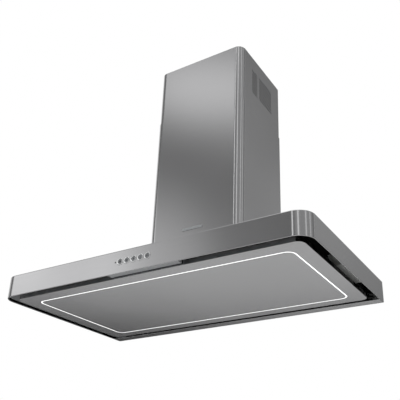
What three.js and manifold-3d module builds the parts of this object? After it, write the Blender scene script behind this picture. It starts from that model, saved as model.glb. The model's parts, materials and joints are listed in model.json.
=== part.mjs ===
// Wall-mounted chimney range hood with a perimeter-suction panel, a light line and five push buttons.
// Millimetres. +Z is up, -Y is towards the cook, and the wall is the plane Y = 0.
// The origin is the middle of the canopy's flat back face.

import * as THREE from "three";
import { mergeVertices } from "three/addons/utils/BufferGeometryUtils.js";
import Module from "manifold-3d";

const wasm = await Module();
wasm.setup();

// ---------------------------------------------------------------- driving dimensions

const GAP = 0.3; // clearance between pieces that touch on the real object
const OVERCUT = 5; // how far a cutting tool runs past the face it cuts
const CORNER_SEGMENTS = 8; // steps round each corner of a large sheet

// canopy
const CANOPY_WIDTH = 900;
const CANOPY_DEPTH = 500;
const CANOPY_HEIGHT = 60;
const CANOPY_CORNER = 40;
const CANOPY_SHEET = 1.2;
const HEM_HEIGHT = 8;
const BACK_RETURN_DEPTH = 30;
const BACK_RETURN_LIP = 8;
const INTAKE_WIDTH = 230; // opening in the canopy's top, under the blower box
const INTAKE_LENGTH = 130;

// suction panel
const SIDE_SLOT = 27;
const FRONT_SLOT = 28;
const BACK_SLOT = 14;
const PANEL_SHEET = 1.0;
const PANEL_CORNER = 20;
const PANEL_FLANGE = 12;

// light line
const LIGHT_INSET = 42; // from the panel's front and side edges to the middle of the line
const LIGHT_BACK_INSET = 35;
const LIGHT_WIDTH = 3;
const LIGHT_HEAD_WIDTH = 13;
const CHANNEL_WIDTH = 16;
const CHANNEL_HEIGHT = 11.7;
const CHANNEL_SHEET = 1.0;
const STRIP_WIDTH = 8;
const STRIP_THICKNESS = 1.2;

// panel hinges and catches
const HINGE_X = 330;
const HINGE_SETBACK = 12;
const HINGE_RISE = 9;
const PIN_RADIUS = 2;
const KNUCKLE_RADIUS = 4.5;
const KNUCKLE_LENGTH = 14;
const PIN_HEAD_RADIUS = 3.2;
const PIN_HEAD_LENGTH = 1.5;
const LEAF_FRONT = 15;
const LEAF_BACK = 8;
const LEAF_THICKNESS = 1.5;
const WEB_THICKNESS = 6;
const EAR_THICKNESS = 2;
const EAR_WIDTH = 12;
const EAR_PLAY = 0.5;
const HINGE_NOTCH_MARGIN = 4;
const CATCH_X = 300;
const CATCH_WIDTH = 20;
const CATCH_DEPTH = 16;
const CATCH_ABOVE_FLANGE = 5;
const CATCH_SLOT_DEPTH = 15;
const CATCH_PLAY = 2;
const STRIKER_WIDTH = 13;
const STRIKER_THICKNESS = 2.4;
const STRIKER_HEIGHT = 27;
const STRIKER_FOOT_WIDTH = 12;
const STRIKER_FOOT_THICKNESS = 1.5;

// grease filters and their carrier
const FILTER_WIDTH = 270;
const FILTER_LENGTH = 260;
const FILTER_THICKNESS = 9;
const FILTER_LIP = 22;
const FILTER_SHEET = 0.8;
const CARRIER_SHEET = 1.0;
const CARRIER_HEIGHT = 26;
const CARRIER_LEDGE = 8;
const CARRIER_BACK = 88;
const CARRIER_BRIM = 10;
const CARRIER_LOFT = 8.5; // free height above the rib, under the canopy's top
const FILTER_PLAY = 1;
const RIB_HALF = 4;
const LATCH_TRAVEL = 6;
const LATCH_TONGUE_WIDTH = 16;
const LATCH_TONGUE_THICKNESS = 3;
const LATCH_GRIP_WIDTH = 36;
const LATCH_GRIP_DEPTH = 12;
const LATCH_GRIP_HEIGHT = 3.2;

// buttons and controls
const BUTTON_COUNT = 5;
const BUTTON_PITCH = 20.5;
const RING_RADIUS = 8.75;
const RING_BORE = 6.5;
const RING_STAND = 1;
const BUTTON_TRAVEL = 2;
const LENS_X = -55.5;
const LENS_RADIUS = 1.8;
const HOUSING_LEFT = -85;
const HOUSING_RIGHT = 123;
const HOUSING_DEPTH = 24;
const HOUSING_WALL = 2;
const HOUSING_ABOVE_RIM = 4;
const HOUSING_BELOW_TOP = 6;
const FRAME_PLATE = 2;
const FRAME_HEIGHT = 24;
const FRAME_END = 3;
const BOARD_SETBACK = 14;
const BOARD_THICKNESS = 1.6;
const BOARD_HEIGHT = 28;
const SWITCH_HEIGHT = 1;
const POST_RADIUS = 3;
const POWER_BOX = { width: 60, length: 140, height: 26, fromWall: 10, ears: 12 };
const LED_DRIVER = { width: 46, length: 160, height: 22, fromWall: 12, ears: 12 };
const SIDE_BOX_BACK = 90;

// blower
const BOX_WIDTH = 260;
const BOX_DEPTH = 232;
const BOX_HEIGHT = 300;
const BOX_SHEET = 1.0;
const BOX_BACK = 8;
const BOX_FLANGE = 12;
const SCREW_ROWS = 150; // from the front row to the back row
const SCREW_RADIUS = 2;
const SCREW_HOLE_RADIUS = 2.3;
const SCREW_HEAD_RADIUS = 4;
const SCREW_HEAD_HEIGHT = 2.5;
const HOOK_X = 50;
const HOOK_Z = 265;
const HOOK_THICKNESS = 3;
const HOOK_WIDTH = 10;
const HOOK_TIP = 12;
const GLAND_RADIUS = 6;
const GLAND_INSET = 23;
const SCROLL_WIDTH = 110;
const SCROLL_WALL = 1.5;
const SCROLL_START = 84;
const SCROLL_END = 108;
const SCROLL_MOUTH = 90;
const SCROLL_INLET = 60;
const SCROLL_RISE = 122;
const SCROLL_TONGUE_DEGREES = 70;
const MOUTH_FLANGE = 6; // how far the scroll's mouth flange passes the collar
const WHEEL_RADIUS = 74;
const WHEEL_BORE = 61;
const WHEEL_WIDTH = 92;
const WHEEL_RIM = 2.5;
const WHEEL_WEB = 2.4;
const HUB_RADIUS = 12;
const BLADE_THICKNESS = 1.4;
const BLADE_PITCH_ANGLE = 0.35;
const BLADE_COUNT = 26;
const MOTOR_RADIUS = 40;
const MOTOR_LENGTH = 62;
const MOTOR_TO_WEB = 6;
const BRACKET_ARM = 12;
const BRACKET_SHEET = 2;
const BRACKET_REACH = 72;
const SHAFT_RADIUS = 4;
const SHAFT_LENGTH = 63;
const SHAFT_PAST_WEB = 18;
const CAPACITOR_RADIUS = 15;
const CAPACITOR_LENGTH = 65;
const COLLAR_RADIUS = 75;
const COLLAR_WALL = 2.5;
const COLLAR_HEIGHT = 60;
const COLLAR_FLANGE = 14;
const FLAP_OFFSET = 5;
const FLAP_RISE = 22;
const FLAP_PLAY = 2;
const FLAP_THICKNESS = 1.5;
const FLAP_STOP = 4;
const TRUNNION_RADIUS = 2;

// chimney
const CHIMNEY_WIDTH = 308;
const CHIMNEY_DEPTH = 258;
const CHIMNEY_CORNER = 25;
const CHIMNEY_SHEET = 1.0;
const CHIMNEY_LIP = 14;
const LOWER_HEIGHT = 550;
const UPPER_HEIGHT = 480;
const UPPER_SHOWN = 195;
const NEST_GAP = 0.5;
const VENT_WIDTH = 132;
const VENT_HEIGHT = 84;
const VENT_BELOW_TOP = 91;
const VENT_BACK = 121;
const VENT_SLOTS = 8;
const VENT_SLOT_WIDTH = 6;
const BADGE_WIDTH = 66;
const BADGE_HEIGHT = 8;
const BADGE_THICKNESS = 0.8;
const BADGE_ABOVE_CANOPY = 148;
const CLIP_SHEET = 1.5;
const CLIP_WIDTH = 40;
const CLIP_HEIGHT = 30;
const BRACKET_BELOW_TOP = 18;
const BRACKET_HEIGHT = 22;
const BRACKET_TABS = 30;

// ---------------------------------------------------------------- derived places

const halfWidth = CANOPY_WIDTH / 2;
const frontY = -CANOPY_DEPTH;
const rimZ = -CANOPY_HEIGHT / 2;
const topZ = CANOPY_HEIGHT / 2;
const ceilingZ = topZ - CANOPY_SHEET - GAP; // pieces inside the canopy hang from here
const wallInnerY = frontY + CANOPY_SHEET;
const hemThickness = 2 * CANOPY_SHEET;

const panel = {
  left: -halfWidth + SIDE_SLOT,
  right: halfWidth - SIDE_SLOT,
  front: frontY + FRONT_SLOT,
  back: -BACK_RETURN_DEPTH - BACK_SLOT,
};
const panelTopZ = rimZ + PANEL_SHEET;
const seatZ = panelTopZ + GAP; // pieces that sit on the panel's inner face

const hingeY = panel.back - HINGE_SETBACK;
const hingeZ = rimZ + HINGE_RISE;

const boxBottomZ = topZ + GAP;
const boxTopZ = boxBottomZ + BOX_HEIGHT;
const boxCentreY = -BOX_BACK - BOX_DEPTH / 2;

const lowerTopZ = topZ + GAP + LOWER_HEIGHT;
const upperTopZ = lowerTopZ + UPPER_SHOWN;
const upperInset = CHIMNEY_SHEET + NEST_GAP;

// ---------------------------------------------------------------- materials

const finishes = {
  brushed: { color: 0x8a8b8c, roughness: 0.35, metalness: 1 },
  galvanised: { color: 0x9ba1a4, roughness: 0.5, metalness: 0.9 },
  aluminium: { color: 0xb4b6b8, roughness: 0.4, metalness: 1 },
  polished: { color: 0xe4e5e6, roughness: 0.15, metalness: 1 },
  light: { color: 0xffffff, roughness: 0.3, metalness: 0 },
  blackPlastic: { color: 0x1d1e20, roughness: 0.5, metalness: 0 },
  greyPlastic: { color: 0x6d7073, roughness: 0.5, metalness: 0 },
  whitePlastic: { color: 0xdadcdc, roughness: 0.5, metalness: 0 },
  circuit: { color: 0x1f4a34, roughness: 0.5, metalness: 0 },
  steel: { color: 0x9a9da0, roughness: 0.4, metalness: 1 },
};

function piece(name, finish, geometry) {
  const mesh = new THREE.Mesh(geometry, new THREE.MeshStandardMaterial(finishes[finish]));
  mesh.name = name;
  return mesh;
}

// ---------------------------------------------------------------- solids

function toSolid(geometry) {
  const bare = geometry.index ? geometry.toNonIndexed() : geometry.clone();
  bare.deleteAttribute("normal");
  bare.deleteAttribute("uv");
  const merged = mergeVertices(bare, 1e-4);
  return new wasm.Manifold(
    new wasm.Mesh({
      numProp: 3,
      vertProperties: new Float32Array(merged.attributes.position.array),
      triVerts: new Uint32Array(merged.index.array),
    }),
  );
}

function toGeometry(solid) {
  const mesh = solid.getMesh();
  const geometry = new THREE.BufferGeometry();
  geometry.setAttribute("position", new THREE.BufferAttribute(mesh.vertProperties, 3));
  geometry.setIndex(new THREE.BufferAttribute(mesh.triVerts, 1));
  return geometry;
}

function join(...geometries) {
  return toGeometry(geometries.map(toSolid).reduce((a, b) => a.add(b)));
}

function cut(geometry, ...tools) {
  return toGeometry(tools.map(toSolid).reduce((a, b) => a.subtract(b), toSolid(geometry)));
}

function intersect(a, b) {
  return toGeometry(toSolid(a).intersect(toSolid(b)));
}

function between(a, b) {
  return [Math.min(a, b), Math.max(a, b)];
}

function box(x0, x1, y0, y1, z0, z1) {
  const geometry = new THREE.BoxGeometry(x1 - x0, y1 - y0, z1 - z0);
  geometry.translate((x0 + x1) / 2, (y0 + y1) / 2, (z0 + z1) / 2);
  return geometry;
}

// A round bar along x, y or z, from a to b on that axis; c and d are its centre on the other two.
function rod(axis, radius, a, b, c, d, sides = 20) {
  const geometry = new THREE.CylinderGeometry(radius, radius, b - a, sides);
  if (axis === "x") geometry.rotateZ(-Math.PI / 2);
  if (axis === "z") geometry.rotateX(Math.PI / 2);
  const middle = (a + b) / 2;
  if (axis === "x") geometry.translate(middle, c, d);
  if (axis === "y") geometry.translate(c, middle, d);
  if (axis === "z") geometry.translate(c, d, middle);
  return geometry;
}

function plate(shape, z0, z1, segments = 6) {
  const geometry = new THREE.ExtrudeGeometry(shape, {
    depth: z1 - z0,
    bevelEnabled: false,
    curveSegments: segments,
  });
  geometry.translate(0, 0, z0);
  return geometry;
}

// An outline drawn in (y, z) and extruded along x.
function profileAlongX(shape, x0, x1, segments = 6) {
  const geometry = plate(shape, 0, x1 - x0, segments);
  geometry.applyMatrix4(new THREE.Matrix4().set(0, 0, 1, x0, 1, 0, 0, 0, 0, 1, 0, 0, 0, 0, 0, 1));
  return geometry;
}

function polygon(points) {
  return new THREE.Shape(points.map(([x, y]) => new THREE.Vector2(x, y)));
}

function roundedRect(x0, x1, y0, y1, r) {
  const shape = new THREE.Shape();
  shape.moveTo(x0 + r, y0);
  shape.lineTo(x1 - r, y0);
  shape.absarc(x1 - r, y0 + r, r, -Math.PI / 2, 0, false);
  shape.lineTo(x1, y1 - r);
  shape.absarc(x1 - r, y1 - r, r, 0, Math.PI / 2, false);
  shape.lineTo(x0 + r, y1);
  shape.absarc(x0 + r, y1 - r, r, Math.PI / 2, Math.PI, false);
  shape.lineTo(x0, y0 + r);
  shape.absarc(x0 + r, y0 + r, r, Math.PI, 1.5 * Math.PI, false);
  return shape;
}

// Plan outline with two round front corners and two square back corners.
function frontRounded(half, front, back, r) {
  const shape = new THREE.Shape();
  shape.moveTo(-half, back);
  shape.lineTo(-half, front + r);
  shape.absarc(-half + r, front + r, r, Math.PI, 1.5 * Math.PI, false);
  shape.lineTo(half - r, front);
  shape.absarc(half - r, front + r, r, 1.5 * Math.PI, 2 * Math.PI, false);
  shape.lineTo(half, back);
  return shape;
}

// A sheet bent round three sides: left, front and right, open at the back.
function wrap(half, front, back, r, sheet, z0, z1) {
  const outside = plate(frontRounded(half, front, back, r), z0, z1, CORNER_SEGMENTS);
  const hollow = frontRounded(half - sheet, front + sheet, back + OVERCUT, r - sheet);
  const inside = plate(hollow, z0 - OVERCUT, z1 + OVERCUT, CORNER_SEGMENTS);
  return cut(outside, inside);
}

// The outline of the panel's light line, moved outwards by grow.
function lightOutline(grow) {
  return roundedRect(
    panel.left + LIGHT_INSET - grow,
    panel.right - LIGHT_INSET + grow,
    panel.front + LIGHT_INSET - grow,
    panel.back - LIGHT_BACK_INSET + grow,
    PANEL_CORNER + grow,
  );
}

// A flat ring between two offsets of the light line.
function lightRing(outer, inner, z0, z1) {
  const hollow = plate(lightOutline(inner), z0 - OVERCUT, z1 + OVERCUT, CORNER_SEGMENTS);
  return cut(plate(lightOutline(outer), z0, z1, CORNER_SEGMENTS), hollow);
}

// ---------------------------------------------------------------- canopy

function buttonX(index) {
  return (index - (BUTTON_COUNT - 1) / 2) * BUTTON_PITCH;
}

const screwX = BOX_WIDTH / 2 + BOX_FLANGE / 2;
const screwYs = [boxCentreY - SCREW_ROWS / 2, boxCentreY + SCREW_ROWS / 2];

// One hole for each screw of the blower box, through the level z.
function screwHoles(z) {
  const across = [-screwX, screwX].flatMap((x) => screwYs.map((y) => [x, y]));
  return across.map(([x, y]) => rod("z", SCREW_HOLE_RADIUS, z - OVERCUT, z + OVERCUT, x, y, 10));
}

function canopyShell() {
  const skirt = wrap(halfWidth, frontY, 0, CANOPY_CORNER, CANOPY_SHEET, rimZ, topZ);
  const hem = wrap(halfWidth, frontY, 0, CANOPY_CORNER, hemThickness, rimZ, rimZ + HEM_HEIGHT);
  const plan = frontRounded(halfWidth, frontY, 0, CANOPY_CORNER);
  const top = plate(plan, topZ - CANOPY_SHEET, topZ, CORNER_SEGMENTS);
  const intakeBack = -CARRIER_BACK - CARRIER_SHEET - OVERCUT;
  const intake = box(
    -INTAKE_WIDTH / 2,
    INTAKE_WIDTH / 2,
    intakeBack - INTAKE_LENGTH,
    intakeBack,
    topZ - OVERCUT,
    topZ + OVERCUT,
  );
  const holes = screwHoles(topZ);
  for (let i = 0; i < BUTTON_COUNT; i += 1) {
    holes.push(rod("y", RING_RADIUS + GAP, frontY - OVERCUT, frontY + OVERCUT, buttonX(i), 0));
  }
  holes.push(rod("y", LENS_RADIUS + GAP, frontY - OVERCUT, frontY + OVERCUT, LENS_X, 0, 12));
  return piece("canopy_shell", "brushed", cut(join(skirt, hem, top), intake, ...holes));
}

function canopyBackPanel() {
  const lipZ = rimZ + BACK_RETURN_LIP;
  const outline = polygon([
    [0, rimZ],
    [0, ceilingZ],
    [-CANOPY_SHEET, ceilingZ],
    [-CANOPY_SHEET, rimZ + CANOPY_SHEET],
    [-BACK_RETURN_DEPTH + CANOPY_SHEET, rimZ + CANOPY_SHEET],
    [-BACK_RETURN_DEPTH + CANOPY_SHEET, lipZ],
    [-BACK_RETURN_DEPTH, lipZ],
    [-BACK_RETURN_DEPTH, rimZ],
  ]);
  const reach = halfWidth - hemThickness - GAP;
  return piece("canopy_back_panel", "brushed", profileAlongX(outline, -reach, reach));
}

// ---------------------------------------------------------------- suction panel

function panelFrame() {
  const outline = (grow) =>
    roundedRect(
      panel.left - grow,
      panel.right + grow,
      panel.front - grow,
      panel.back + grow,
      PANEL_CORNER + grow,
    );
  const rimTop = rimZ + PANEL_FLANGE;
  const tray = plate(outline(0), rimZ, rimTop, CORNER_SEGMENTS);
  const hollow = plate(outline(-PANEL_SHEET), panelTopZ, rimTop + OVERCUT, CORNER_SEGMENTS);
  const notchHalf = KNUCKLE_LENGTH / 2 + EAR_PLAY + EAR_THICKNESS + HINGE_NOTCH_MARGIN;
  const notches = [-HINGE_X, HINGE_X].map((x) =>
    box(x - notchHalf, x + notchHalf, panel.back - OVERCUT, panel.back + OVERCUT, panelTopZ, topZ),
  );
  const slot = LIGHT_WIDTH / 2 + GAP;
  const window = plate(lightOutline(slot), rimZ - OVERCUT, topZ, CORNER_SEGMENTS);
  return piece("panel_frame", "brushed", cut(tray, hollow, window, ...notches));
}

function panelCentre() {
  const outline = lightOutline(-LIGHT_WIDTH / 2 - GAP);
  return piece("panel_centre", "brushed", plate(outline, rimZ, panelTopZ, CORNER_SEGMENTS));
}

function lightChannel() {
  const half = CHANNEL_WIDTH / 2;
  const top = seatZ + CHANNEL_HEIGHT;
  const cover = lightRing(half, -half, top - CHANNEL_SHEET, top);
  const outerWall = lightRing(half, half - CHANNEL_SHEET, seatZ, top);
  const innerWall = lightRing(-half + CHANNEL_SHEET, -half, seatZ, top);
  return piece("led_channel", "aluminium", join(cover, outerWall, innerWall));
}

function lightStrip() {
  const under = seatZ + CHANNEL_HEIGHT - CHANNEL_SHEET - GAP;
  const half = STRIP_WIDTH / 2;
  return piece("led_strip", "whitePlastic", lightRing(half, -half, under - STRIP_THICKNESS, under));
}

function lightDiffuser() {
  const line = LIGHT_WIDTH / 2;
  const head = LIGHT_HEAD_WIDTH / 2;
  const bar = lightRing(line, -line, rimZ, seatZ + LIGHT_WIDTH);
  const shoulders = lightRing(head, -head, seatZ, seatZ + LIGHT_WIDTH / 2);
  return piece("led_diffuser", "light", join(bar, shoulders));
}

// Each hinge is drawn about its own axis, which runs along x through the local origin.
function hingeBracket(name) {
  const inner = KNUCKLE_LENGTH / 2 + EAR_PLAY;
  const outer = inner + EAR_THICKNESS;
  const head = ceilingZ - hingeZ;
  const below = EAR_PLAY - KNUCKLE_RADIUS;
  const y = EAR_WIDTH / 2;
  const ears = [box(inner, outer, -y, y, below, head), box(-outer, -inner, -y, y, below, head)];
  const foot = box(-outer, outer, -y, EAR_WIDTH, head - EAR_THICKNESS, head);
  const bore = rod("x", PIN_RADIUS + GAP, -outer - OVERCUT, outer + OVERCUT, 0, 0, 16);
  return piece(name, "galvanised", cut(join(foot, ...ears), bore));
}

function hingePin(name) {
  const reach = KNUCKLE_LENGTH / 2 + EAR_PLAY + EAR_THICKNESS + GAP;
  const shank = rod("x", PIN_RADIUS, -reach - PIN_HEAD_LENGTH, reach, 0, 0, 16);
  const head = rod("x", PIN_HEAD_RADIUS, reach, reach + PIN_HEAD_LENGTH, 0, 0, 16);
  return piece(name, "steel", join(shank, head));
}

function hingeLeaf(name) {
  const half = KNUCKLE_LENGTH / 2;
  const foot = seatZ - hingeZ;
  const knuckle = rod("x", KNUCKLE_RADIUS, -half, half, 0, 0, 16);
  const web = box(-half, half, -WEB_THICKNESS / 2, WEB_THICKNESS / 2, foot, 0);
  const leaf = box(-half, half, -LEAF_FRONT, LEAF_BACK, foot, foot + LEAF_THICKNESS);
  const bore = rod("x", PIN_RADIUS + GAP, -half - OVERCUT, half + OVERCUT, 0, 0, 16);
  return piece(name, "galvanised", cut(join(knuckle, web, leaf), bore));
}

// The catch and its striker share a local origin: panel seat height, middle of the catch.
function panelCatch(name) {
  const below = PANEL_FLANGE + CATCH_ABOVE_FLANGE;
  const head = ceilingZ - seatZ;
  const w = CATCH_WIDTH / 2;
  const d = CATCH_DEPTH / 2;
  const block = box(-w, w, -d, d, below, head);
  const slotX = STRIKER_WIDTH / 2 + CATCH_PLAY;
  const slotY = STRIKER_THICKNESS / 2 + CATCH_PLAY;
  const slot = box(-slotX, slotX, -slotY, slotY, below - OVERCUT, below + CATCH_SLOT_DEPTH);
  return piece(name, "blackPlastic", cut(block, slot));
}

function panelStriker(name) {
  const w = STRIKER_WIDTH / 2;
  const t = STRIKER_THICKNESS / 2;
  const blade = box(-w, w, -t, t, 0, STRIKER_HEIGHT);
  const foot = box(-w, w, -STRIKER_FOOT_WIDTH / 2, STRIKER_FOOT_WIDTH / 2, 0, STRIKER_FOOT_THICKNESS);
  return piece(name, "steel", join(blade, foot));
}

// ---------------------------------------------------------------- grease filters

const filterGroundZ = ceilingZ - CARRIER_HEIGHT;
const filterZ = filterGroundZ + CARRIER_SHEET + GAP;
const carrierHalf = RIB_HALF + 2 * FILTER_PLAY + FILTER_WIDTH + CARRIER_SHEET;
const carrierBackY = -CARRIER_BACK;
const filterBackY = carrierBackY - CARRIER_SHEET - FILTER_PLAY;
const filterFrontY = filterBackY - FILTER_LENGTH;
const carrierFrontY = filterFrontY - CARRIER_LEDGE - 2 * FILTER_PLAY - CARRIER_SHEET;
const filterX = RIB_HALF + FILTER_PLAY + FILTER_WIDTH / 2;

function filterCarrier() {
  const t = CARRIER_SHEET;
  const z0 = filterGroundZ;
  const brimReach = CARRIER_BRIM;
  const body = box(-carrierHalf, carrierHalf, carrierFrontY, carrierBackY, z0, ceilingZ);
  const brim = box(
    -carrierHalf - brimReach,
    carrierHalf + brimReach,
    carrierFrontY - brimReach,
    carrierBackY + brimReach,
    ceilingZ - t,
    ceilingZ,
  );
  const front = carrierFrontY + t;
  const back = carrierBackY - t;
  const ledge = CARRIER_LEDGE;
  const hollows = [-1, 1].map((side) => {
    const [x0, x1] = between(side * RIB_HALF, side * (carrierHalf - t));
    return box(x0, x1, front, back, z0 + t, ceilingZ);
  });
  const loftZ = ceilingZ - CARRIER_LOFT;
  const loft = box(t - carrierHalf, carrierHalf - t, front, back, loftZ, ceilingZ + OVERCUT);
  const windows = [-1, 1].map((side) => {
    const [x0, x1] = between(side * (RIB_HALF + ledge), side * (carrierHalf - t - ledge));
    return box(x0, x1, front + ledge, back - ledge, z0 - OVERCUT, z0 + OVERCUT);
  });
  return piece("filter_carrier", "galvanised", cut(join(body, brim), ...hollows, loft, ...windows));
}

const latchBack = FILTER_LIP - 2; // the latch's notch in the filter frame ends here
const meshInset = FILTER_LIP - 2;

// Filter pieces are drawn about the filter's middle, with z = 0 at its underside.
function filterFrame(name) {
  const w = FILTER_WIDTH / 2;
  const l = FILTER_LENGTH / 2;
  const t = FILTER_SHEET;
  const block = box(-w, w, -l, l, 0, FILTER_THICKNESS);
  const groove = box(-w + t, w - t, -l + t, l - t, t, FILTER_THICKNESS - t);
  const wx = w - FILTER_LIP;
  const wy = l - FILTER_LIP;
  const window = box(-wx, wx, -wy, wy, -OVERCUT, FILTER_THICKNESS + OVERCUT);
  const nx = LATCH_TONGUE_WIDTH / 2 + FILTER_PLAY;
  const nz = LATCH_TONGUE_THICKNESS + 2 * FILTER_PLAY;
  const notch = box(-nx, nx, -l - OVERCUT, -l + latchBack, -OVERCUT, nz);
  return piece(name, "aluminium", cut(block, groove, window, notch));
}

function filterMesh(name) {
  const w = FILTER_WIDTH / 2 - meshInset;
  const l = FILTER_LENGTH / 2 - meshInset;
  const t = FILTER_SHEET + GAP;
  return piece(name, "aluminium", box(-w, w, -l, l, t, FILTER_THICKNESS - t));
}

function filterLatch(name) {
  const l = FILTER_LENGTH / 2;
  const half = LATCH_TONGUE_WIDTH / 2;
  const top = GAP + LATCH_TONGUE_THICKNESS;
  const gx = LATCH_GRIP_WIDTH / 2;
  const gripFront = -l + FILTER_PLAY;
  const gripBack = gripFront + LATCH_GRIP_DEPTH;
  const grip = box(-gx, gx, gripFront, gripBack, -GAP - LATCH_GRIP_HEIGHT, -GAP);
  const stem = box(-half, half, gripFront, gripBack, -2 * GAP, top);
  const tongue = box(-half, half, -l - LATCH_TRAVEL, gripBack, GAP, top);
  return piece(name, "greyPlastic", join(grip, stem, tongue));
}

// ---------------------------------------------------------------- controls

const frameBackY = wallInnerY + GAP + FRAME_PLATE; // back of the button frame's plate
const boardFrontY = frontY + BOARD_SETBACK;
const housingBackY = wallInnerY + GAP + HOUSING_DEPTH;
const housingBottomZ = rimZ + HOUSING_ABOVE_RIM;
const housingTopZ = topZ - HOUSING_BELOW_TOP;

function buttonFrame() {
  const left = LENS_X - LENS_RADIUS - 2 * FRAME_END;
  const right = buttonX(BUTTON_COUNT - 1) + RING_RADIUS + FRAME_END;
  const base = box(left, right, wallInnerY + GAP, frameBackY, -FRAME_HEIGHT / 2, FRAME_HEIGHT / 2);
  const y0 = frontY - OVERCUT;
  const y1 = frameBackY + OVERCUT;
  const sleeves = [];
  const bores = [rod("y", LENS_RADIUS + GAP, y0, y1, LENS_X, 0, 12)];
  for (let i = 0; i < BUTTON_COUNT; i += 1) {
    sleeves.push(rod("y", RING_RADIUS, frontY - RING_STAND, frameBackY - FRAME_PLATE / 2, buttonX(i), 0, 24));
    bores.push(rod("y", RING_BORE, y0, y1, buttonX(i), 0, 20));
  }
  return piece("button_frame", "polished", cut(join(base, ...sleeves), ...bores));
}

function pushButton(index) {
  const radius = RING_BORE - GAP;
  const edge = 0.5;
  const face = frontY - RING_STAND + edge;
  const collar = frameBackY + GAP;
  const tail = boardFrontY - SWITCH_HEIGHT - GAP - BUTTON_TRAVEL;
  const shape = [
    [0, face],
    [radius - edge, face],
    [radius, face + edge],
    [radius, collar],
    [RING_RADIUS, collar],
    [RING_RADIUS, collar + SWITCH_HEIGHT],
    [radius / 2, collar + SWITCH_HEIGHT],
    [radius / 2, tail],
    [0, tail],
  ];
  const profile = shape.map(([r, y]) => new THREE.Vector2(r, y));
  const geometry = new THREE.LatheGeometry(profile, 20);
  const mesh = piece("button_" + (index + 1), "brushed", geometry);
  mesh.position.x = buttonX(index);
  return mesh;
}

function indicatorLens() {
  const back = frameBackY + GAP;
  const stem = rod("y", LENS_RADIUS, frontY - RING_STAND / 2, back + GAP, LENS_X, 0, 12);
  const base = rod("y", LENS_RADIUS + 1, back, back + FRAME_PLATE, LENS_X, 0, 12);
  return piece("indicator_lens", "blackPlastic", join(stem, base));
}

function controlBoard() {
  const inset = HOUSING_WALL + HOUSING_ABOVE_RIM;
  const back = boardFrontY + BOARD_THICKNESS;
  const z = BOARD_HEIGHT / 2;
  const slab = box(HOUSING_LEFT + inset, HOUSING_RIGHT - inset, boardFrontY, back, -z, z);
  const switches = [];
  for (let i = 0; i < BUTTON_COUNT; i += 1) {
    const x = buttonX(i);
    switches.push(box(x - 3, x + 3, boardFrontY - SWITCH_HEIGHT, boardFrontY + SWITCH_HEIGHT, -3, 3));
  }
  const plugX = HOUSING_RIGHT - 4 * inset;
  const plug = box(plugX - 10, plugX + 10, boardFrontY - 6, boardFrontY + 1, -6, 6);
  return piece("control_board", "circuit", join(slab, ...switches, plug));
}

function controlHousing() {
  const w = HOUSING_WALL;
  const front = frontY + hemThickness + GAP;
  const shell = box(HOUSING_LEFT, HOUSING_RIGHT, front, housingBackY, housingBottomZ, housingTopZ);
  const hollow = box(
    HOUSING_LEFT + w,
    HOUSING_RIGHT - w,
    front - OVERCUT,
    housingBackY - w,
    housingBottomZ + w,
    housingTopZ - w,
  );
  const postZ = BOARD_HEIGHT / 2 - POST_RADIUS - w;
  const postInset = 4 * POST_RADIUS;
  const postFront = boardFrontY + BOARD_THICKNESS + GAP;
  const posts = [];
  for (const x of [HOUSING_LEFT + postInset, HOUSING_RIGHT - postInset]) {
    for (const z of [-postZ, postZ]) {
      posts.push(rod("y", POST_RADIUS, postFront, housingBackY - w / 2, x, z, 12));
    }
  }
  return piece("control_housing", "greyPlastic", join(cut(shell, hollow), ...posts));
}

// A boxed circuit under the canopy's top, beside one side wall, with a fixing ear at each end.
function sideBox(name, side, size) {
  const wallSide = side * (halfWidth - CANOPY_SHEET - size.fromWall);
  const innerSide = wallSide - side * size.width;
  const [x0, x1] = between(wallSide, innerSide);
  const back = -SIDE_BOX_BACK;
  const front = back - size.length;
  const body = box(x0, x1, front, back, ceilingZ - size.height, ceilingZ);
  const earSheet = 2;
  const ears = box(x0 + 10, x1 - 10, front - size.ears, back + size.ears, ceilingZ - earSheet, ceilingZ);
  return piece(name, "whitePlastic", join(body, ears));
}

// ---------------------------------------------------------------- blower

const glandX = BOX_WIDTH / 2 - GLAND_INSET;
const glandY = boxCentreY + BOX_DEPTH / 2 - GLAND_INSET;
const boxBackY = boxCentreY + BOX_DEPTH / 2;
const boxFlangeZ = boxBottomZ + CANOPY_SHEET;

function blowerBox() {
  const half = BOX_WIDTH / 2;
  const y0 = boxCentreY - BOX_DEPTH / 2;
  const y1 = boxBackY;
  const t = BOX_SHEET;
  const f = BOX_FLANGE;
  const body = box(-half, half, y0, y1, boxBottomZ, boxTopZ);
  const flange = box(-half - f, half + f, y0 - f / 2, y1 + f / 2, boxBottomZ, boxFlangeZ);
  const hollow = box(t - half, half - t, y0 + t, y1 - t, boxBottomZ - OVERCUT, boxTopZ - t);
  const low = boxTopZ - OVERCUT;
  const high = boxTopZ + OVERCUT;
  const outlet = rod("z", COLLAR_RADIUS - COLLAR_WALL, low, high, 0, boxCentreY, 36);
  const gland = rod("z", GLAND_RADIUS + GAP, low, high, glandX, glandY, 12);
  const slotHalf = HOOK_WIDTH / 2 + 2;
  const slots = [-HOOK_X, HOOK_X].map((x) =>
    box(x - slotHalf, x + slotHalf, y1 - OVERCUT, y1 + OVERCUT, HOOK_Z - 3, HOOK_Z + HOOK_TIP + 6),
  );
  const cuts = [hollow, outlet, gland, ...slots, ...screwHoles(boxBottomZ)];
  return piece("blower_box", "galvanised", cut(join(body, flange), ...cuts));
}

const scrollZ = boxBottomZ + SCROLL_RISE;
const scrollMouthZ = boxTopZ - BOX_SHEET - GAP;

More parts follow.
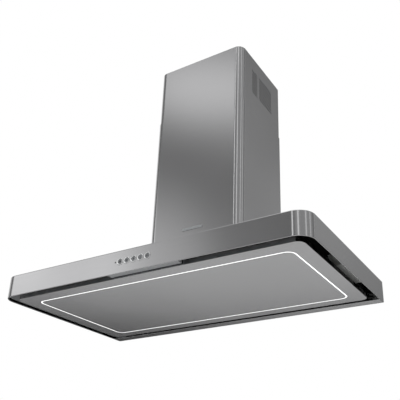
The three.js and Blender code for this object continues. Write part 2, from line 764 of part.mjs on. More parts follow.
// The volute seen along x: a spiral from the tongue, then a throat that leans to the outlet.
function scrollOutline(grow, mouthZ) {
  const startAngle = (SCROLL_TONGUE_DEGREES * Math.PI) / 180;
  const steps = 26;
  const points = [];
  for (let i = 0; i <= steps; i += 1) {
    const share = i / steps;
    const angle = startAngle + share * (2 * Math.PI - startAngle);
    const r = SCROLL_START + share * (SCROLL_END - SCROLL_START) + grow;
    points.push([boxCentreY + r * Math.cos(angle), scrollZ + r * Math.sin(angle)]);
  }
  const throatZ = scrollZ + SCROLL_END / 2;
  const neckZ = scrollMouthZ - 2 * MOUTH_FLANGE;
  const mouth = SCROLL_MOUTH / 2 + grow;
  points.push([boxCentreY + SCROLL_END + grow, throatZ]);
  points.push([boxCentreY + mouth, neckZ]);
  points.push([boxCentreY + mouth, mouthZ]);
  points.push([boxCentreY - mouth, mouthZ]);
  points.push([boxCentreY - mouth, neckZ]);
  return polygon(points);
}

// The band round the wheel, with a flange at its mouth that seals to the blower box's top.
function scrollWrap() {
  const inner = SCROLL_WIDTH / 2;
  const edge = inner - GAP;
  const outside = profileAlongX(scrollOutline(SCROLL_WALL, scrollMouthZ), -edge, edge);
  const inside = profileAlongX(scrollOutline(0, scrollMouthZ + OVERCUT), -inner, inner);
  const reach = COLLAR_RADIUS + MOUTH_FLANGE;
  const y0 = boxCentreY - reach;
  const y1 = boxCentreY + reach;
  const flange = box(-reach, reach, y0, y1, scrollMouthZ - SCROLL_WALL, scrollMouthZ);
  return piece("scroll_wrap", "galvanised", cut(join(outside, flange), inside));
}

// A side plate of the scroll, with one of the wheel's two inlets.
function scrollSide(name, side) {
  const [x0, x1] = between(side * (SCROLL_WIDTH / 2), side * (SCROLL_WIDTH / 2 + SCROLL_WALL));
  const outline = scrollOutline(SCROLL_WALL, scrollMouthZ - SCROLL_WALL - GAP);
  const inlet = rod("x", SCROLL_INLET, x0 - OVERCUT, x1 + OVERCUT, boxCentreY, scrollZ, 32);
  return piece(name, "galvanised", cut(profileAlongX(outline, x0, x1), inlet));
}

const motorFaceX = -WHEEL_WEB / 2 - MOTOR_TO_WEB;

// The wheel, shaft and motor are drawn about the blower axis, which runs along x.
function blowerWheel() {
  const half = WHEEL_WIDTH / 2;
  const middle = (WHEEL_RADIUS + WHEEL_BORE) / 2;
  const chord = WHEEL_RADIUS - WHEEL_BORE;
  const bore = rod("x", SHAFT_RADIUS + GAP, -half, half, 0, 0, 16);
  const web = rod("x", WHEEL_RADIUS, -WHEEL_WEB / 2, WHEEL_WEB / 2, 0, 0, 36);
  const hub = rod("x", HUB_RADIUS, 0, HUB_RADIUS, 0, 0, 20);
  const disc = cut(join(web, hub), bore);
  const eye = rod("x", WHEEL_BORE, -half - OVERCUT, half + OVERCUT, 0, 0, 36);
  const rims = [-half, half - WHEEL_RIM].map((x) =>
    cut(rod("x", WHEEL_RADIUS, x, x + WHEEL_RIM, 0, 0, 36), eye),
  );
  const inset = WHEEL_RIM / 2; // blade ends stop inside the rims and their edges inside the ring
  const blades = [];
  for (let i = 0; i < BLADE_COUNT; i += 1) {
    const t = BLADE_THICKNESS / 2;
    const blade = box(inset - half, half - inset, -t, t, (inset - chord) / 2, (chord - inset) / 2);
    blade.rotateX(BLADE_PITCH_ANGLE);
    blade.translate(0, 0, middle);
    blade.rotateX((2 * Math.PI * i) / BLADE_COUNT);
    blades.push(blade);
  }
  return piece("blower_wheel", "galvanised", join(disc, ...rims, ...blades));
}

function motorShaft() {
  const shaft = rod("x", SHAFT_RADIUS, SHAFT_PAST_WEB - SHAFT_LENGTH, SHAFT_PAST_WEB, 0, 0, 16);
  return piece("motor_shaft", "steel", shaft);
}

function motor() {
  const near = motorFaceX;
  const far = near - MOTOR_LENGTH;
  const nib = MOTOR_TO_WEB / 2;
  const body = rod("x", MOTOR_RADIUS, far, near, 0, 0, 32);
  const nose = rod("x", HUB_RADIUS, near - nib, near + nib, 0, 0, 20);
  const tail = rod("x", HUB_RADIUS, far - 2 * nib, far + nib, 0, 0, 16);
  const bore = rod("x", SHAFT_RADIUS + GAP, SHAFT_PAST_WEB - SHAFT_LENGTH - 1, near + OVERCUT, 0, 0, 16);
  return piece("motor", "steel", cut(join(body, nose, tail), bore));
}

function motorBracket() {
  const back = motorFaceX - MOTOR_LENGTH - GAP;
  const foot = -SCROLL_WIDTH / 2 - SCROLL_WALL - GAP;
  const t = BRACKET_SHEET;
  const w = BRACKET_ARM / 2;
  const seat = rod("x", 2 * HUB_RADIUS, back - t, back, 0, 0, 24);
  const hole = rod("x", HUB_RADIUS + 1, back - OVERCUT, back + OVERCUT, 0, 0, 20);
  const disc = cut(seat, hole);
  const arms = [30, 150, 270].flatMap((degrees) => {
    const turn = (degrees * Math.PI) / 180;
    const arm = box(back - t, back, -w, w, 2 * HUB_RADIUS - t, BRACKET_REACH);
    const leg = box(back - t, foot, -w, w, BRACKET_REACH - t, BRACKET_REACH);
    const toe = box(foot - t, foot, -w, w, BRACKET_REACH - t, BRACKET_REACH + w);
    return [arm, leg, toe].map((part) => part.rotateX(turn));
  });
  return piece("motor_bracket", "galvanised", join(disc, ...arms));
}

function capacitor() {
  const fromWall = BOX_SHEET + GAP + CAPACITOR_RADIUS;
  const x = BOX_WIDTH / 2 - fromWall;
  const y = boxCentreY - BOX_DEPTH / 2 + fromWall;
  const z = boxBottomZ + CAPACITOR_LENGTH;
  return piece("capacitor", "whitePlastic", rod("z", CAPACITOR_RADIUS, z, z + CAPACITOR_LENGTH, x, y, 24));
}

function cableGland() {
  const r = GLAND_RADIUS;
  const nut = rod("z", r + 4, boxTopZ + GAP, boxTopZ + r + 2, glandX, glandY, 6);
  const dome = rod("z", r + 1.5, boxTopZ + r, boxTopZ + 2 * r, glandX, glandY, 16);
  const stem = rod("z", r, boxTopZ - r, boxTopZ + 1, glandX, glandY, 12);
  const bore = rod("z", r / 2, boxTopZ - r - OVERCUT, boxTopZ + 2 * r + OVERCUT, glandX, glandY, 12);
  return piece("cable_gland", "blackPlastic", cut(join(nut, dome, stem), bore));
}

const collarZ = boxTopZ + GAP;
const flapZ = collarZ + FLAP_RISE;

function outletCollar() {
  const inner = COLLAR_RADIUS - COLLAR_WALL;
  const y = boxCentreY;
  const top = collarZ + COLLAR_HEIGHT;
  const stopTop = flapZ - TRUNNION_RADIUS - FLAP_STOP;
  const stopBottom = stopTop - COLLAR_WALL;
  const tube = rod("z", COLLAR_RADIUS, collarZ, top, 0, y, 36);
  const flange = rod("z", COLLAR_RADIUS + COLLAR_FLANGE, collarZ, collarZ + COLLAR_WALL, 0, y, 36);
  const upper = rod("z", inner, stopTop, top + OVERCUT, 0, y, 36);
  const lower = rod("z", inner, collarZ - OVERCUT, stopBottom, 0, y, 36);
  const stop = rod("z", inner - FLAP_STOP, collarZ - OVERCUT, top, 0, y, 36);
  const reach = COLLAR_RADIUS + OVERCUT;
  const holes = [-1, 1].map((side) =>
    rod("y", TRUNNION_RADIUS + GAP, y - reach, y + reach, side * FLAP_OFFSET, flapZ, 12),
  );
  return piece("outlet_collar", "greyPlastic", cut(join(tube, flange), upper, lower, stop, ...holes));
}

function outletFlap(name, side) {
  const r = COLLAR_RADIUS - COLLAR_WALL - FLAP_PLAY;
  const disc = rod("z", r, -FLAP_THICKNESS / 2, FLAP_THICKNESS / 2, 0, 0, 36);
  const [x0, x1] = between(side * FLAP_OFFSET, side * (r + OVERCUT));
  const half = intersect(disc, box(x0, x1, -r - OVERCUT, r + OVERCUT, -OVERCUT, OVERCUT));
  const reach = COLLAR_RADIUS - COLLAR_WALL / 2;
  const trunnion = rod("y", TRUNNION_RADIUS, -reach, reach, side * FLAP_OFFSET, 0, 12);
  const mesh = piece(name, "blackPlastic", join(half, trunnion));
  mesh.position.set(0, boxCentreY, flapZ);
  return mesh;
}

// Pan-head screws that hold the blower box on the canopy.
function blowerScrews() {
  const seat = boxFlangeZ + GAP;
  const tip = topZ - CANOPY_SHEET - GAP;
  const places = [-screwX, screwX].flatMap((x) => screwYs.map((y) => [x, y]));
  return places.map(([x, y], i) => {
    const head = rod("z", SCREW_HEAD_RADIUS, seat, seat + SCREW_HEAD_HEIGHT, x, y, 12);
    const shank = rod("z", SCREW_RADIUS, tip, seat + SCREW_HEAD_HEIGHT / 2, x, y, 10);
    return piece("blower_screw_" + (i + 1), "steel", join(head, shank));
  });
}

// ---------------------------------------------------------------- chimney

function chimneySleeve(inset, z0, z1) {
  const half = CHIMNEY_WIDTH / 2 - inset;
  const front = -CHIMNEY_DEPTH + inset;
  const back = -inset;
  const t = CHIMNEY_SHEET;
  const sides = wrap(half, front, back, CHIMNEY_CORNER - inset, t, z0, z1);
  const lips = [-1, 1].map((side) => {
    const [x0, x1] = between(side * half, side * (half - CHIMNEY_LIP));
    return box(x0, x1, back - t, back, z0, z1);
  });
  return join(sides, ...lips);
}

function lowerChimney() {
  return piece("lower_chimney", "brushed", chimneySleeve(0, topZ + GAP, lowerTopZ));
}

function upperChimney() {
  const sleeve = chimneySleeve(upperInset, upperTopZ - UPPER_HEIGHT, upperTopZ);
  const pitch = VENT_WIDTH / VENT_SLOTS;
  const middle = upperTopZ - VENT_BELOW_TOP;
  const reach = CHIMNEY_WIDTH / 2;
  const slots = [];
  for (let i = 0; i < VENT_SLOTS; i += 1) {
    const y = -VENT_BACK - VENT_WIDTH / 2 + (i + 0.5) * pitch;
    const w = VENT_SLOT_WIDTH / 2;
    slots.push(box(-reach, reach, y - w, y + w, middle - VENT_HEIGHT / 2, middle + VENT_HEIGHT / 2));
  }
  return piece("upper_chimney", "brushed", cut(sleeve, ...slots));
}

function blankBadge() {
  const x = BADGE_WIDTH / 2;
  const y = -CHIMNEY_DEPTH - GAP;
  const z = topZ + BADGE_ABOVE_CANOPY;
  return piece("blank_badge", "polished", box(-x, x, y - BADGE_THICKNESS, y, z, z + BADGE_HEIGHT));
}

function chimneyClip(name, side) {
  const outer = CHIMNEY_WIDTH / 2 - CHIMNEY_SHEET - GAP;
  const inner = BOX_WIDTH / 2 + BOX_FLANGE + GAP;
  const z = topZ + GAP;
  const y0 = boxCentreY - CLIP_WIDTH / 2;
  const y1 = boxCentreY + CLIP_WIDTH / 2;
  const [footLow, footHigh] = between(side * inner, side * outer);
  const [leafLow, leafHigh] = between(side * (outer - CLIP_SHEET), side * outer);
  const foot = box(footLow, footHigh, y0, y1, z, z + CLIP_SHEET);
  const leaf = box(leafLow, leafHigh, y0, y1, z, z + CLIP_HEIGHT);
  return piece(name, "galvanised", join(foot, leaf));
}

// ---------------------------------------------------------------- wall brackets

function lowerWallBracket() {
  const t = BRACKET_SHEET;
  const margin = 2 * HOOK_WIDTH;
  const base = box(-HOOK_X - margin, HOOK_X + margin, -t, 0, HOOK_Z - margin, HOOK_Z + margin);
  const w = HOOK_WIDTH / 2;
  const tipBack = boxBackY - BOX_SHEET - t;
  const tipFront = tipBack - t;
  const hooks = [-HOOK_X, HOOK_X].flatMap((x) => [
    box(x - w, x + w, tipFront, -t / 2, HOOK_Z, HOOK_Z + HOOK_THICKNESS),
    box(x - w, x + w, tipFront, tipBack, HOOK_Z, HOOK_Z + HOOK_TIP),
  ]);
  return piece("wall_bracket_lower", "galvanised", join(base, ...hooks));
}

function upperWallBracket() {
  const inner = CHIMNEY_WIDTH / 2 - upperInset - CHIMNEY_SHEET - GAP;
  const lipInner = CHIMNEY_WIDTH / 2 - upperInset - CHIMNEY_LIP - BRACKET_SHEET;
  const step = -upperInset - CHIMNEY_SHEET - GAP;
  const t = BRACKET_SHEET;
  const half = [
    [lipInner, 0],
    [lipInner, step],
    [inner, step],
    [inner, -BRACKET_TABS],
    [inner - t, -BRACKET_TABS],
    [inner - t, step - t],
    [lipInner - t, step - t],
    [lipInner - t, -t],
  ];
  const mirrored = half.map(([x, y]) => [-x, y]).reverse();
  const outline = polygon([...half, ...mirrored]);
  const top = upperTopZ - BRACKET_BELOW_TOP;
  return piece("wall_bracket_upper", "galvanised", plate(outline, top - BRACKET_HEIGHT, top));
}

// ---------------------------------------------------------------- assembly

const SIDES = [
  ["left", -1],
  ["right", 1],
];

function at(mesh, x, y, z) {
  mesh.position.set(x, y, z);
  return mesh;
}

const hood = new THREE.Group();

const canopy = new THREE.Group();
canopy.add(canopyShell(), canopyBackPanel());
hood.add(canopy);

const suctionPanel = new THREE.Group();
suctionPanel.add(panelFrame(), panelCentre(), lightChannel(), lightStrip(), lightDiffuser());
const catchY = (panel.front + PANEL_SHEET + panel.front + LIGHT_INSET - CHANNEL_WIDTH / 2) / 2;
for (const [word, side] of SIDES) {
  const x = side * HINGE_X;
  canopy.add(at(hingeBracket("hinge_bracket_" + word), x, hingeY, hingeZ));
  canopy.add(at(hingePin("hinge_pin_" + word), x, hingeY, hingeZ));
  suctionPanel.add(at(hingeLeaf("hinge_leaf_" + word), x, hingeY, hingeZ));
  canopy.add(at(panelCatch("catch_" + word), side * CATCH_X, catchY, seatZ));
  suctionPanel.add(at(panelStriker("striker_" + word), side * CATCH_X, catchY, seatZ));
}
hood.add(suctionPanel);

hood.add(filterCarrier());
for (const [word, side] of SIDES) {
  const filter = new THREE.Group();
  filter.add(filterFrame("filter_frame_" + word), filterMesh("filter_mesh_" + word));
  filter.add(filterLatch("filter_latch_" + word));
  filter.position.set(side * filterX, (filterFrontY + filterBackY) / 2, filterZ);
  hood.add(filter);
}

const controls = new THREE.Group();
controls.add(buttonFrame(), indicatorLens(), controlBoard(), controlHousing());
controls.add(sideBox("power_box", 1, POWER_BOX), sideBox("led_driver", -1, LED_DRIVER));
for (let i = 0; i < BUTTON_COUNT; i += 1) controls.add(pushButton(i));
hood.add(controls);

const blower = new THREE.Group();
blower.add(blowerBox(), scrollWrap(), capacitor(), cableGland(), outletCollar(), ...blowerScrews());
for (const part of [blowerWheel(), motorShaft(), motor(), motorBracket()]) {
  blower.add(at(part, 0, boxCentreY, scrollZ));
}
for (const [word, side] of SIDES) {
  blower.add(scrollSide("scroll_side_" + word, side), outletFlap("outlet_flap_" + word, side));
}
hood.add(blower);

const chimney = new THREE.Group();
chimney.add(lowerChimney(), upperChimney(), blankBadge());
chimney.add(chimneyClip("chimney_clip_left", -1), chimneyClip("chimney_clip_right", 1));
hood.add(chimney);

hood.add(lowerWallBracket(), upperWallBracket());

export default hood;
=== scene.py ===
"""Chimney range hood in brushed stainless steel, with a light line in its suction panel.

Metres. +Z is up, -Y is towards the cook, and the wall is the plane Y = 0.
"""

import json
import math

import bmesh
import bpy
from mathutils import Matrix, Vector

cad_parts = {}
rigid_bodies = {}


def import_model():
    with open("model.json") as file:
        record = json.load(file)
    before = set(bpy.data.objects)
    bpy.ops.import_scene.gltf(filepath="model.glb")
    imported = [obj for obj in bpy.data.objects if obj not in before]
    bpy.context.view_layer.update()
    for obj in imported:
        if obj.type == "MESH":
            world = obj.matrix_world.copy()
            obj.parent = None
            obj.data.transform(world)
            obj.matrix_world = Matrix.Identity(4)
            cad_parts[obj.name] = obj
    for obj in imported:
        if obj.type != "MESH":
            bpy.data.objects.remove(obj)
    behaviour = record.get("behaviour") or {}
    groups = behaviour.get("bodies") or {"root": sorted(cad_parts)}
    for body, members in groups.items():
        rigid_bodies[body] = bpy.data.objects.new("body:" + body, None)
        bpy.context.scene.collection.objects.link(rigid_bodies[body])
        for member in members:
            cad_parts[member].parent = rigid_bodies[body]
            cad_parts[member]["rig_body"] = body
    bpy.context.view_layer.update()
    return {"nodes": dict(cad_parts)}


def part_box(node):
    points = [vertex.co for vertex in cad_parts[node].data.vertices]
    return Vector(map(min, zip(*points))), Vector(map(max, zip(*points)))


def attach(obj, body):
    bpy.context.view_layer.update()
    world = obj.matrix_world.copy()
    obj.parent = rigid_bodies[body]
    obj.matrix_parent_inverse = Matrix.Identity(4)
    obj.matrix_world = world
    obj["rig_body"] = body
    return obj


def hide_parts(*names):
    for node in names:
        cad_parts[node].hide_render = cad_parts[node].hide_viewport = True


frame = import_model()

MM = 0.001
SMOOTH_ANGLE = math.radians(38)  # edges that turn more than this stay crisp


# ---------------------------------------------------------------- nodes and colours


def linear(hex_colour):
    """An sRGB hex colour as linear red, green, blue and alpha."""
    channels = [int(hex_colour[i : i + 2], 16) / 255 for i in (1, 3, 5)]
    return tuple(c / 12.92 if c <= 0.04045 else ((c + 0.055) / 1.055) ** 2.4 for c in channels) + (1.0,)


def node(tree, kind, inputs=None, **settings):
    """Adds one node, sets its properties, and fills or links its inputs."""
    made = tree.nodes.new(kind)
    for name, value in settings.items():
        setattr(made, name, value)
    for key, value in (inputs or {}).items():
        if isinstance(value, bpy.types.NodeSocket):
            tree.links.new(value, made.inputs[key])
        elif isinstance(value, bpy.types.Node):
            tree.links.new(value.outputs[0], made.inputs[key])
        else:
            made.inputs[key].default_value = value
    return made


def new_finish(name, **sockets):
    """A material with one shader. Values that are the same all over sit on the shader's own sockets."""
    material = bpy.data.materials.new(name)
    material.use_nodes = True
    tree = material.node_tree
    tree.nodes.clear()
    shader = node(tree, "ShaderNodeBsdfPrincipled", {k.replace("_", " "): v for k, v in sockets.items()})
    node(tree, "ShaderNodeOutputMaterial", {"Surface": shader.outputs["BSDF"]})
    return material, tree, shader


def shade_between(tree, factor, dark, light):
    """A colour that goes from dark to light with the factor."""
    mix = node(tree, "ShaderNodeMix", {"Factor": factor}, data_type="RGBA")
    mix.inputs["A"].default_value = linear(dark)
    mix.inputs["B"].default_value = linear(light)
    return mix.outputs["Result"]


def spread(tree, factor, low, high, start=0.3, end=0.7):
    """A number that goes from low to high while the factor goes from start to end."""
    ends = {"Value": factor, "From Min": start, "From Max": end, "To Min": low, "To Max": high}
    return node(tree, "ShaderNodeMapRange", ends)


# ---------------------------------------------------------------- finishes

GRAIN_LINE = 0.7 * MM  # real lines are 0.05 to 0.2 mm; drawn coarser, as finer ones would not show
GRAIN_RUN = 60 * MM
LIGHT_LINE_STRENGTH = 1.05
LEVEL = (1 / GRAIN_RUN, 1 / GRAIN_RUN, 1 / GRAIN_LINE)  # lines run level round the walls
ACROSS = (1 / GRAIN_RUN, 1 / GRAIN_LINE, 1 / GRAIN_LINE)  # lines run from side to side


def brushed_stainless(name, lines, dark, light, roughness, streak):
    """Stainless sheet after a belt sander. Fine lines stretch each reflection across the grain,
    and slow clouds in the grain keep a wide sheet from looking printed."""
    material, tree, shader = new_finish(name, Metallic=1.0, Anisotropic=streak)
    place = node(tree, "ShaderNodeTexCoord")
    stretched = node(tree, "ShaderNodeMapping", {"Vector": place.outputs["Object"], "Scale": lines})
    grain = node(
        tree, "ShaderNodeTexNoise", {"Vector": stretched, "Scale": 1.0, "Detail": 4.0, "Roughness": 0.65}
    )
    clouds = node(
        tree, "ShaderNodeTexNoise", {"Vector": place.outputs["Object"], "Scale": 3.0, "Detail": 1.0}
    )
    faint_grain = node(tree, "ShaderNodeMath", {0: grain.outputs[0], 1: 0.75}, operation="MULTIPLY")
    tone = node(tree, "ShaderNodeMath", {0: faint_grain, 1: clouds.outputs[0]}, operation="ADD")
    settled = spread(tree, tone.outputs[0], 0.0, 1.0, 0.55, 1.2)
    tree.links.new(shade_between(tree, settled.outputs[0], dark, light), shader.inputs["Base Color"])
    rough = spread(tree, tone.outputs[0], roughness * 0.94, roughness * 1.06, 0.55, 1.2)
    tree.links.new(rough.outputs[0], shader.inputs["Roughness"])
    bump = node(tree, "ShaderNodeBump", {"Height": grain.outputs[0], "Strength": 0.05, "Distance": 0.02 * MM})
    tree.links.new(bump.outputs[0], shader.inputs["Normal"])
    # Reflections stretch at a right angle to the lines. The small lean keeps that direction from
    # meeting the face's own normal on flat tops and edges.
    along_y, along_z = (0.02, 1.0) if lines is LEVEL else (1.0, 0.02)
    stretch = node(tree, "ShaderNodeCombineXYZ", {"Y": along_y, "Z": along_z})
    turned = node(
        tree,
        "ShaderNodeVectorTransform",
        {"Vector": stretch},
        vector_type="VECTOR",
        convert_from="OBJECT",
        convert_to="WORLD",
    )
    tree.links.new(turned.outputs[0], shader.inputs["Tangent"])
    return material


def spangled_zinc():
    """Hot-dip galvanised sheet. The zinc freezes in flat crystals, each a little brighter or duller."""
    material, tree, shader = new_finish("galvanised_sheet_hot_dip", Metallic=1.0)
    place = node(tree, "ShaderNodeTexCoord")
    wander = node(tree, "ShaderNodeTexNoise", {"Vector": place.outputs["Object"], "Scale": 90.0})
    shift = node(
        tree, "ShaderNodeVectorMath", {0: wander.outputs["Color"], "Scale": 0.006}, operation="SCALE"
    )
    moved = node(tree, "ShaderNodeVectorMath", {0: place.outputs["Object"], 1: shift}, operation="ADD")
    crystals = node(tree, "ShaderNodeTexVoronoi", {"Vector": moved, "Scale": 110.0})  # about 9 mm across
    each = node(tree, "ShaderNodeSeparateXYZ", {0: crystals.outputs["Color"]})
    tree.links.new(shade_between(tree, each.outputs[0], "#8E9294", "#B7BBBD"), shader.inputs["Base Color"])
    rough = spread(tree, each.outputs[1], 0.34, 0.52, 0.0, 1.0)
    tree.links.new(rough.outputs[0], shader.inputs["Roughness"])
    bump = node(
        tree, "ShaderNodeBump", {"Height": wander.outputs[0], "Strength": 0.15, "Distance": 0.05 * MM}
    )
    tree.links.new(bump.outputs[0], shader.inputs["Normal"])
    return material


def plain_metal(name, dark, light, roughness, grit_mm, dent):
    """A turned, pressed or plated metal part: an even sheen, broken by handling marks of one size."""
    material, tree, shader = new_finish(name, Metallic=1.0)
    place = node(tree, "ShaderNodeTexCoord")
    marks = node(
        tree,
        "ShaderNodeTexNoise",
        {"Vector": place.outputs["Object"], "Scale": 1 / (grit_mm * MM), "Detail": 3.0, "Roughness": 0.6},
    )
    tree.links.new(shade_between(tree, marks.outputs[0], dark, light), shader.inputs["Base Color"])
    rough = spread(tree, marks.outputs[0], roughness * 0.8, roughness * 1.25)
    tree.links.new(rough.outputs[0], shader.inputs["Roughness"])
    bump = node(
        tree, "ShaderNodeBump", {"Height": marks.outputs[0], "Strength": dent, "Distance": 0.05 * MM}
    )
    tree.links.new(bump.outputs[0], shader.inputs["Normal"])
    return material


def moulded_plastic(name, dark, light, roughness, grain_mm, depth):
    """An injection-moulded part: spark-eroded grain all over, and slow sink marks that show in its sheen."""
    material, tree, shader = new_finish(name, IOR=1.53)
    place = node(tree, "ShaderNodeTexCoord")
    grain = node(
        tree,
        "ShaderNodeTexNoise",
        {"Vector": place.outputs["Object"], "Scale": 1 / (grain_mm * MM), "Detail": 2.0},
    )
    sink = node(tree, "ShaderNodeTexNoise", {"Vector": place.outputs["Object"], "Scale": 25.0})
    tree.links.new(shade_between(tree, sink.outputs[0], dark, light), shader.inputs["Base Color"])
    rough = spread(tree, sink.outputs[0], roughness * 0.9, roughness * 1.1)
    tree.links.new(rough.outputs[0], shader.inputs["Roughness"])
    bump = node(
        tree, "ShaderNodeBump", {"Height": grain.outputs[0], "Strength": depth, "Distance": 0.1 * MM}
    )
    tree.links.new(bump.outputs[0], shader.inputs["Normal"])
    return material


def spun_cap():
    """Button metal faced on a lathe: fine rings round the middle, which the piece's own UV map centres."""
    material, tree, shader = new_finish("button_steel_spun", Metallic=1.0)
    own = node(tree, "ShaderNodeUVMap", uv_map="face")
    rings = node(
        tree,
        "ShaderNodeTexWave",
        {"Vector": own, "Scale": 1.6, "Distortion": 0.6, "Detail": 2.0},
        wave_type="RINGS",
        rings_direction="SPHERICAL",
    )
    tree.links.new(shade_between(tree, rings.outputs[0], "#86888A", "#A6A8AA"), shader.inputs["Base Color"])
    rough = spread(tree, rings.outputs[0], 0.3, 0.42, 0.0, 1.0)
    tree.links.new(rough.outputs[0], shader.inputs["Roughness"])
    bump = node(tree, "ShaderNodeBump", {"Height": rings.outputs[0], "Strength": 0.2, "Distance": 0.05 * MM})
    tree.links.new(bump.outputs[0], shader.inputs["Normal"])
    return material


def opal_light():
    """Opal acrylic lit from behind. It is white all along, with the faint beat of the lights behind it."""
    material, tree, shader = new_finish("opal_acrylic_lit", Roughness=0.35, IOR=1.49)
    place = node(tree, "ShaderNodeTexCoord")
    milk = node(tree, "ShaderNodeTexNoise", {"Vector": place.outputs["Object"], "Scale": 60.0})
    tree.links.new(shade_between(tree, milk.outputs[0], "#F4F5F5", "#FFFFFF"), shader.inputs["Base Color"])
    glow = shade_between(tree, milk.outputs[0], "#FAFBFB", "#FFFFFF")
    tree.links.new(glow, shader.inputs["Emission Color"])
    shader.inputs["Emission Strength"].default_value = LIGHT_LINE_STRENGTH
    return material


# Canopy and chimney: the lines run level, so each light is drawn out up and down the walls.
steel_walls = brushed_stainless("stainless_brushed_level", LEVEL, "#ABABAC", "#B7B7B8", 0.16, 0.3)
# The panel below: the lines run from side to side, and its sheen is a little softer.
steel_across = brushed_stainless("stainless_brushed_across", ACROSS, "#ABABAC", "#B7B7B8", 0.2, 0.3)
zinc_sheet = spangled_zinc()
# Zinc plate is bright and faintly blue, mill aluminium paler and duller, and chrome almost a mirror.
zinc_plate = plain_metal("steel_zinc_plated", "#A9ACAE", "#C9CCCE", 0.26, 1.2, 0.1)
mill_aluminium = plain_metal("aluminium_mill_finish", "#B4B6B8", "#CDCFD0", 0.36, 2.5, 0.12)
chrome = plain_metal("chrome_plated_trim", "#E2E3E4", "#F2F3F3", 0.1, 4.0, 0.02)
cap_steel = spun_cap()
# The covers' inner side isn't brushed and is dull; its dark colour is painted shade, for the little light
# that gets inside.
cover_inside_painted_shade = plain_metal("stainless_inside_painted_shade", "#3A3B3C", "#474849", 0.55, 3.0, 0.1)
# Coatings and mouldings share one grain. Powder coat scatters light, so the hollow behind the gap isn't
# quite black. The matt black beside it is painted shade, on the canopy's ceiling, its right wall and the vent
# screens.
grey_coat = moulded_plastic("coating_inside_light_grey", "#B4B6B7", "#BEC0C1", 0.55, 1.5, 0.1)
painted_shade_black = moulded_plastic("painted_shade_matt_black", "#040404", "#0A0A0A", 0.85, 1.5, 0.2)
dark_enamel = moulded_plastic("enamel_dark_grey", "#2B2C2D", "#343536", 0.4, 0.8, 0.1)
white_abs = moulded_plastic("abs_white_moulded", "#D8D9D6", "#E2E3E0", 0.45, 0.7, 0.12)
black_abs = moulded_plastic("abs_black_moulded", "#161617", "#1E1E1F", 0.42, 0.7, 0.12)
grey_abs = moulded_plastic("abs_grey_moulded", "#8B8D8F", "#959799", 0.48, 0.8, 0.12)
# Smooth acrylic shows a sharp highlight on a dark body; solder mask and print are duller.
smoked_lens = moulded_plastic("acrylic_smoked", "#1D1E20", "#26272A", 0.12, 3.0, 0.01)
board_green = moulded_plastic("circuit_board_solder_mask", "#0C3B22", "#12502F", 0.3, 2.0, 0.05)
dark_ink = moulded_plastic("ink_dark_grey", "#1C1D1E", "#262728", 0.55, 0.5, 0.05)
phosphor = moulded_plastic("light_chip_phosphor", "#E9D77A", "#F2E596", 0.5, 0.6, 0.05)
opal = opal_light()


# ---------------------------------------------------------------- mesh making


def new_piece(name, mesh):
    """An object at the origin that shows the mesh."""
    piece = bpy.data.objects.new(name, mesh)
    bpy.context.scene.collection.objects.link(piece)
    return piece


def piece_from(name, shape, *finishes):
    """A piece from a finished bmesh, with its finishes in order."""
    mesh = bpy.data.meshes.new(name)
    shape.to_mesh(mesh)
    shape.free()
    for finish in finishes:
        mesh.materials.append(finish)
    return new_piece(name, mesh)


def settle(piece, edge_mm=0.0, segments=2):
    """Rounds the piece's crisp edges, evens its shading, and leaves a plain mesh."""
    if edge_mm:
        bevel = piece.modifiers.new("edge", "BEVEL")
        bevel.width = edge_mm * MM
        bevel.segments = segments
        bevel.limit_method = "ANGLE"
        bevel.angle_limit = SMOOTH_ANGLE
        bevel.use_clamp_overlap = True
        bevel.harden_normals = False
    piece.data.shade_smooth()
    piece.data.set_sharp_from_angle(angle=SMOOTH_ANGLE)
    weighted = piece.modifiers.new("shading", "WEIGHTED_NORMAL")
    weighted.keep_sharp = True
    weighted.weight = 100
    return flattened(piece)


def flattened(piece):
    """Turns the piece's modifiers into plain mesh."""
    graph = bpy.context.evaluated_depsgraph_get()
    mesh = bpy.data.meshes.new_from_object(piece.evaluated_get(graph), depsgraph=graph)
    piece.modifiers.clear()
    old = piece.data
    piece.data = mesh
    name = old.name
    bpy.data.meshes.remove(old)
    mesh.name = name
    return piece


def place_on(piece, body, slot, *nodes):
    """Makes the piece move with a CAD body and lets it stand for these CAD nodes. The slot is not used."""
    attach(piece, body)
    if nodes:
        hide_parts(*nodes)
    return piece


def body_of(node_name):
    """The CAD body that a node belongs to."""
    return frame["nodes"][node_name]["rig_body"]


def dressed(node_name, finish, slot, edge_mm=0.3, segments=2):
    """A CAD node's own shape with rounded edges and even shading, standing for that node."""
    shape = bmesh.new()
    shape.from_mesh(frame["nodes"][node_name].data)
    bmesh.ops.remove_doubles(shape, verts=shape.verts, dist=0.002 * MM)
    bmesh.ops.dissolve_limit(shape, angle_limit=math.radians(0.4), verts=shape.verts, edges=shape.edges)
    # a wide face that wraps round a hole can't take a rounded edge whole, so it goes back to triangles
    bmesh.ops.triangulate(shape, faces=[face for face in shape.faces if len(face.verts) > 4])
    for face in shape.faces:
        face.material_index = 0
    piece = piece_from(f"{node_name}_finished", shape, finish)
    settle(piece, edge_mm, segments)
    return place_on(piece, body_of(node_name), slot, node_name)


def open_outline(half, front, back, corner, inset, steps=14):
    """The plan of a sheet with two rounded front corners and an open back, from back left to back right."""
    radius = corner - inset
    points = [(-half + inset, back)]
    for side, start in ((-1, math.pi), (1, 1.5 * math.pi)):
        centre = (side * (half - corner), front + corner)
        for i in range(steps + 1):
            angle = start + 0.5 * math.pi * i / steps
            points.append((centre[0] + radius * math.cos(angle), centre[1] + radius * math.sin(angle)))
    points.append((half - inset, back))
    return points


def arc(centre, radius, start, end, steps):
    """Points along part of a circle in any plane, angles in degrees."""
    angles = [math.radians(start + (end - start) * i / steps) for i in range(steps + 1)]
    return [(centre[0] + radius * math.cos(a), centre[1] + radius * math.sin(a)) for a in angles]


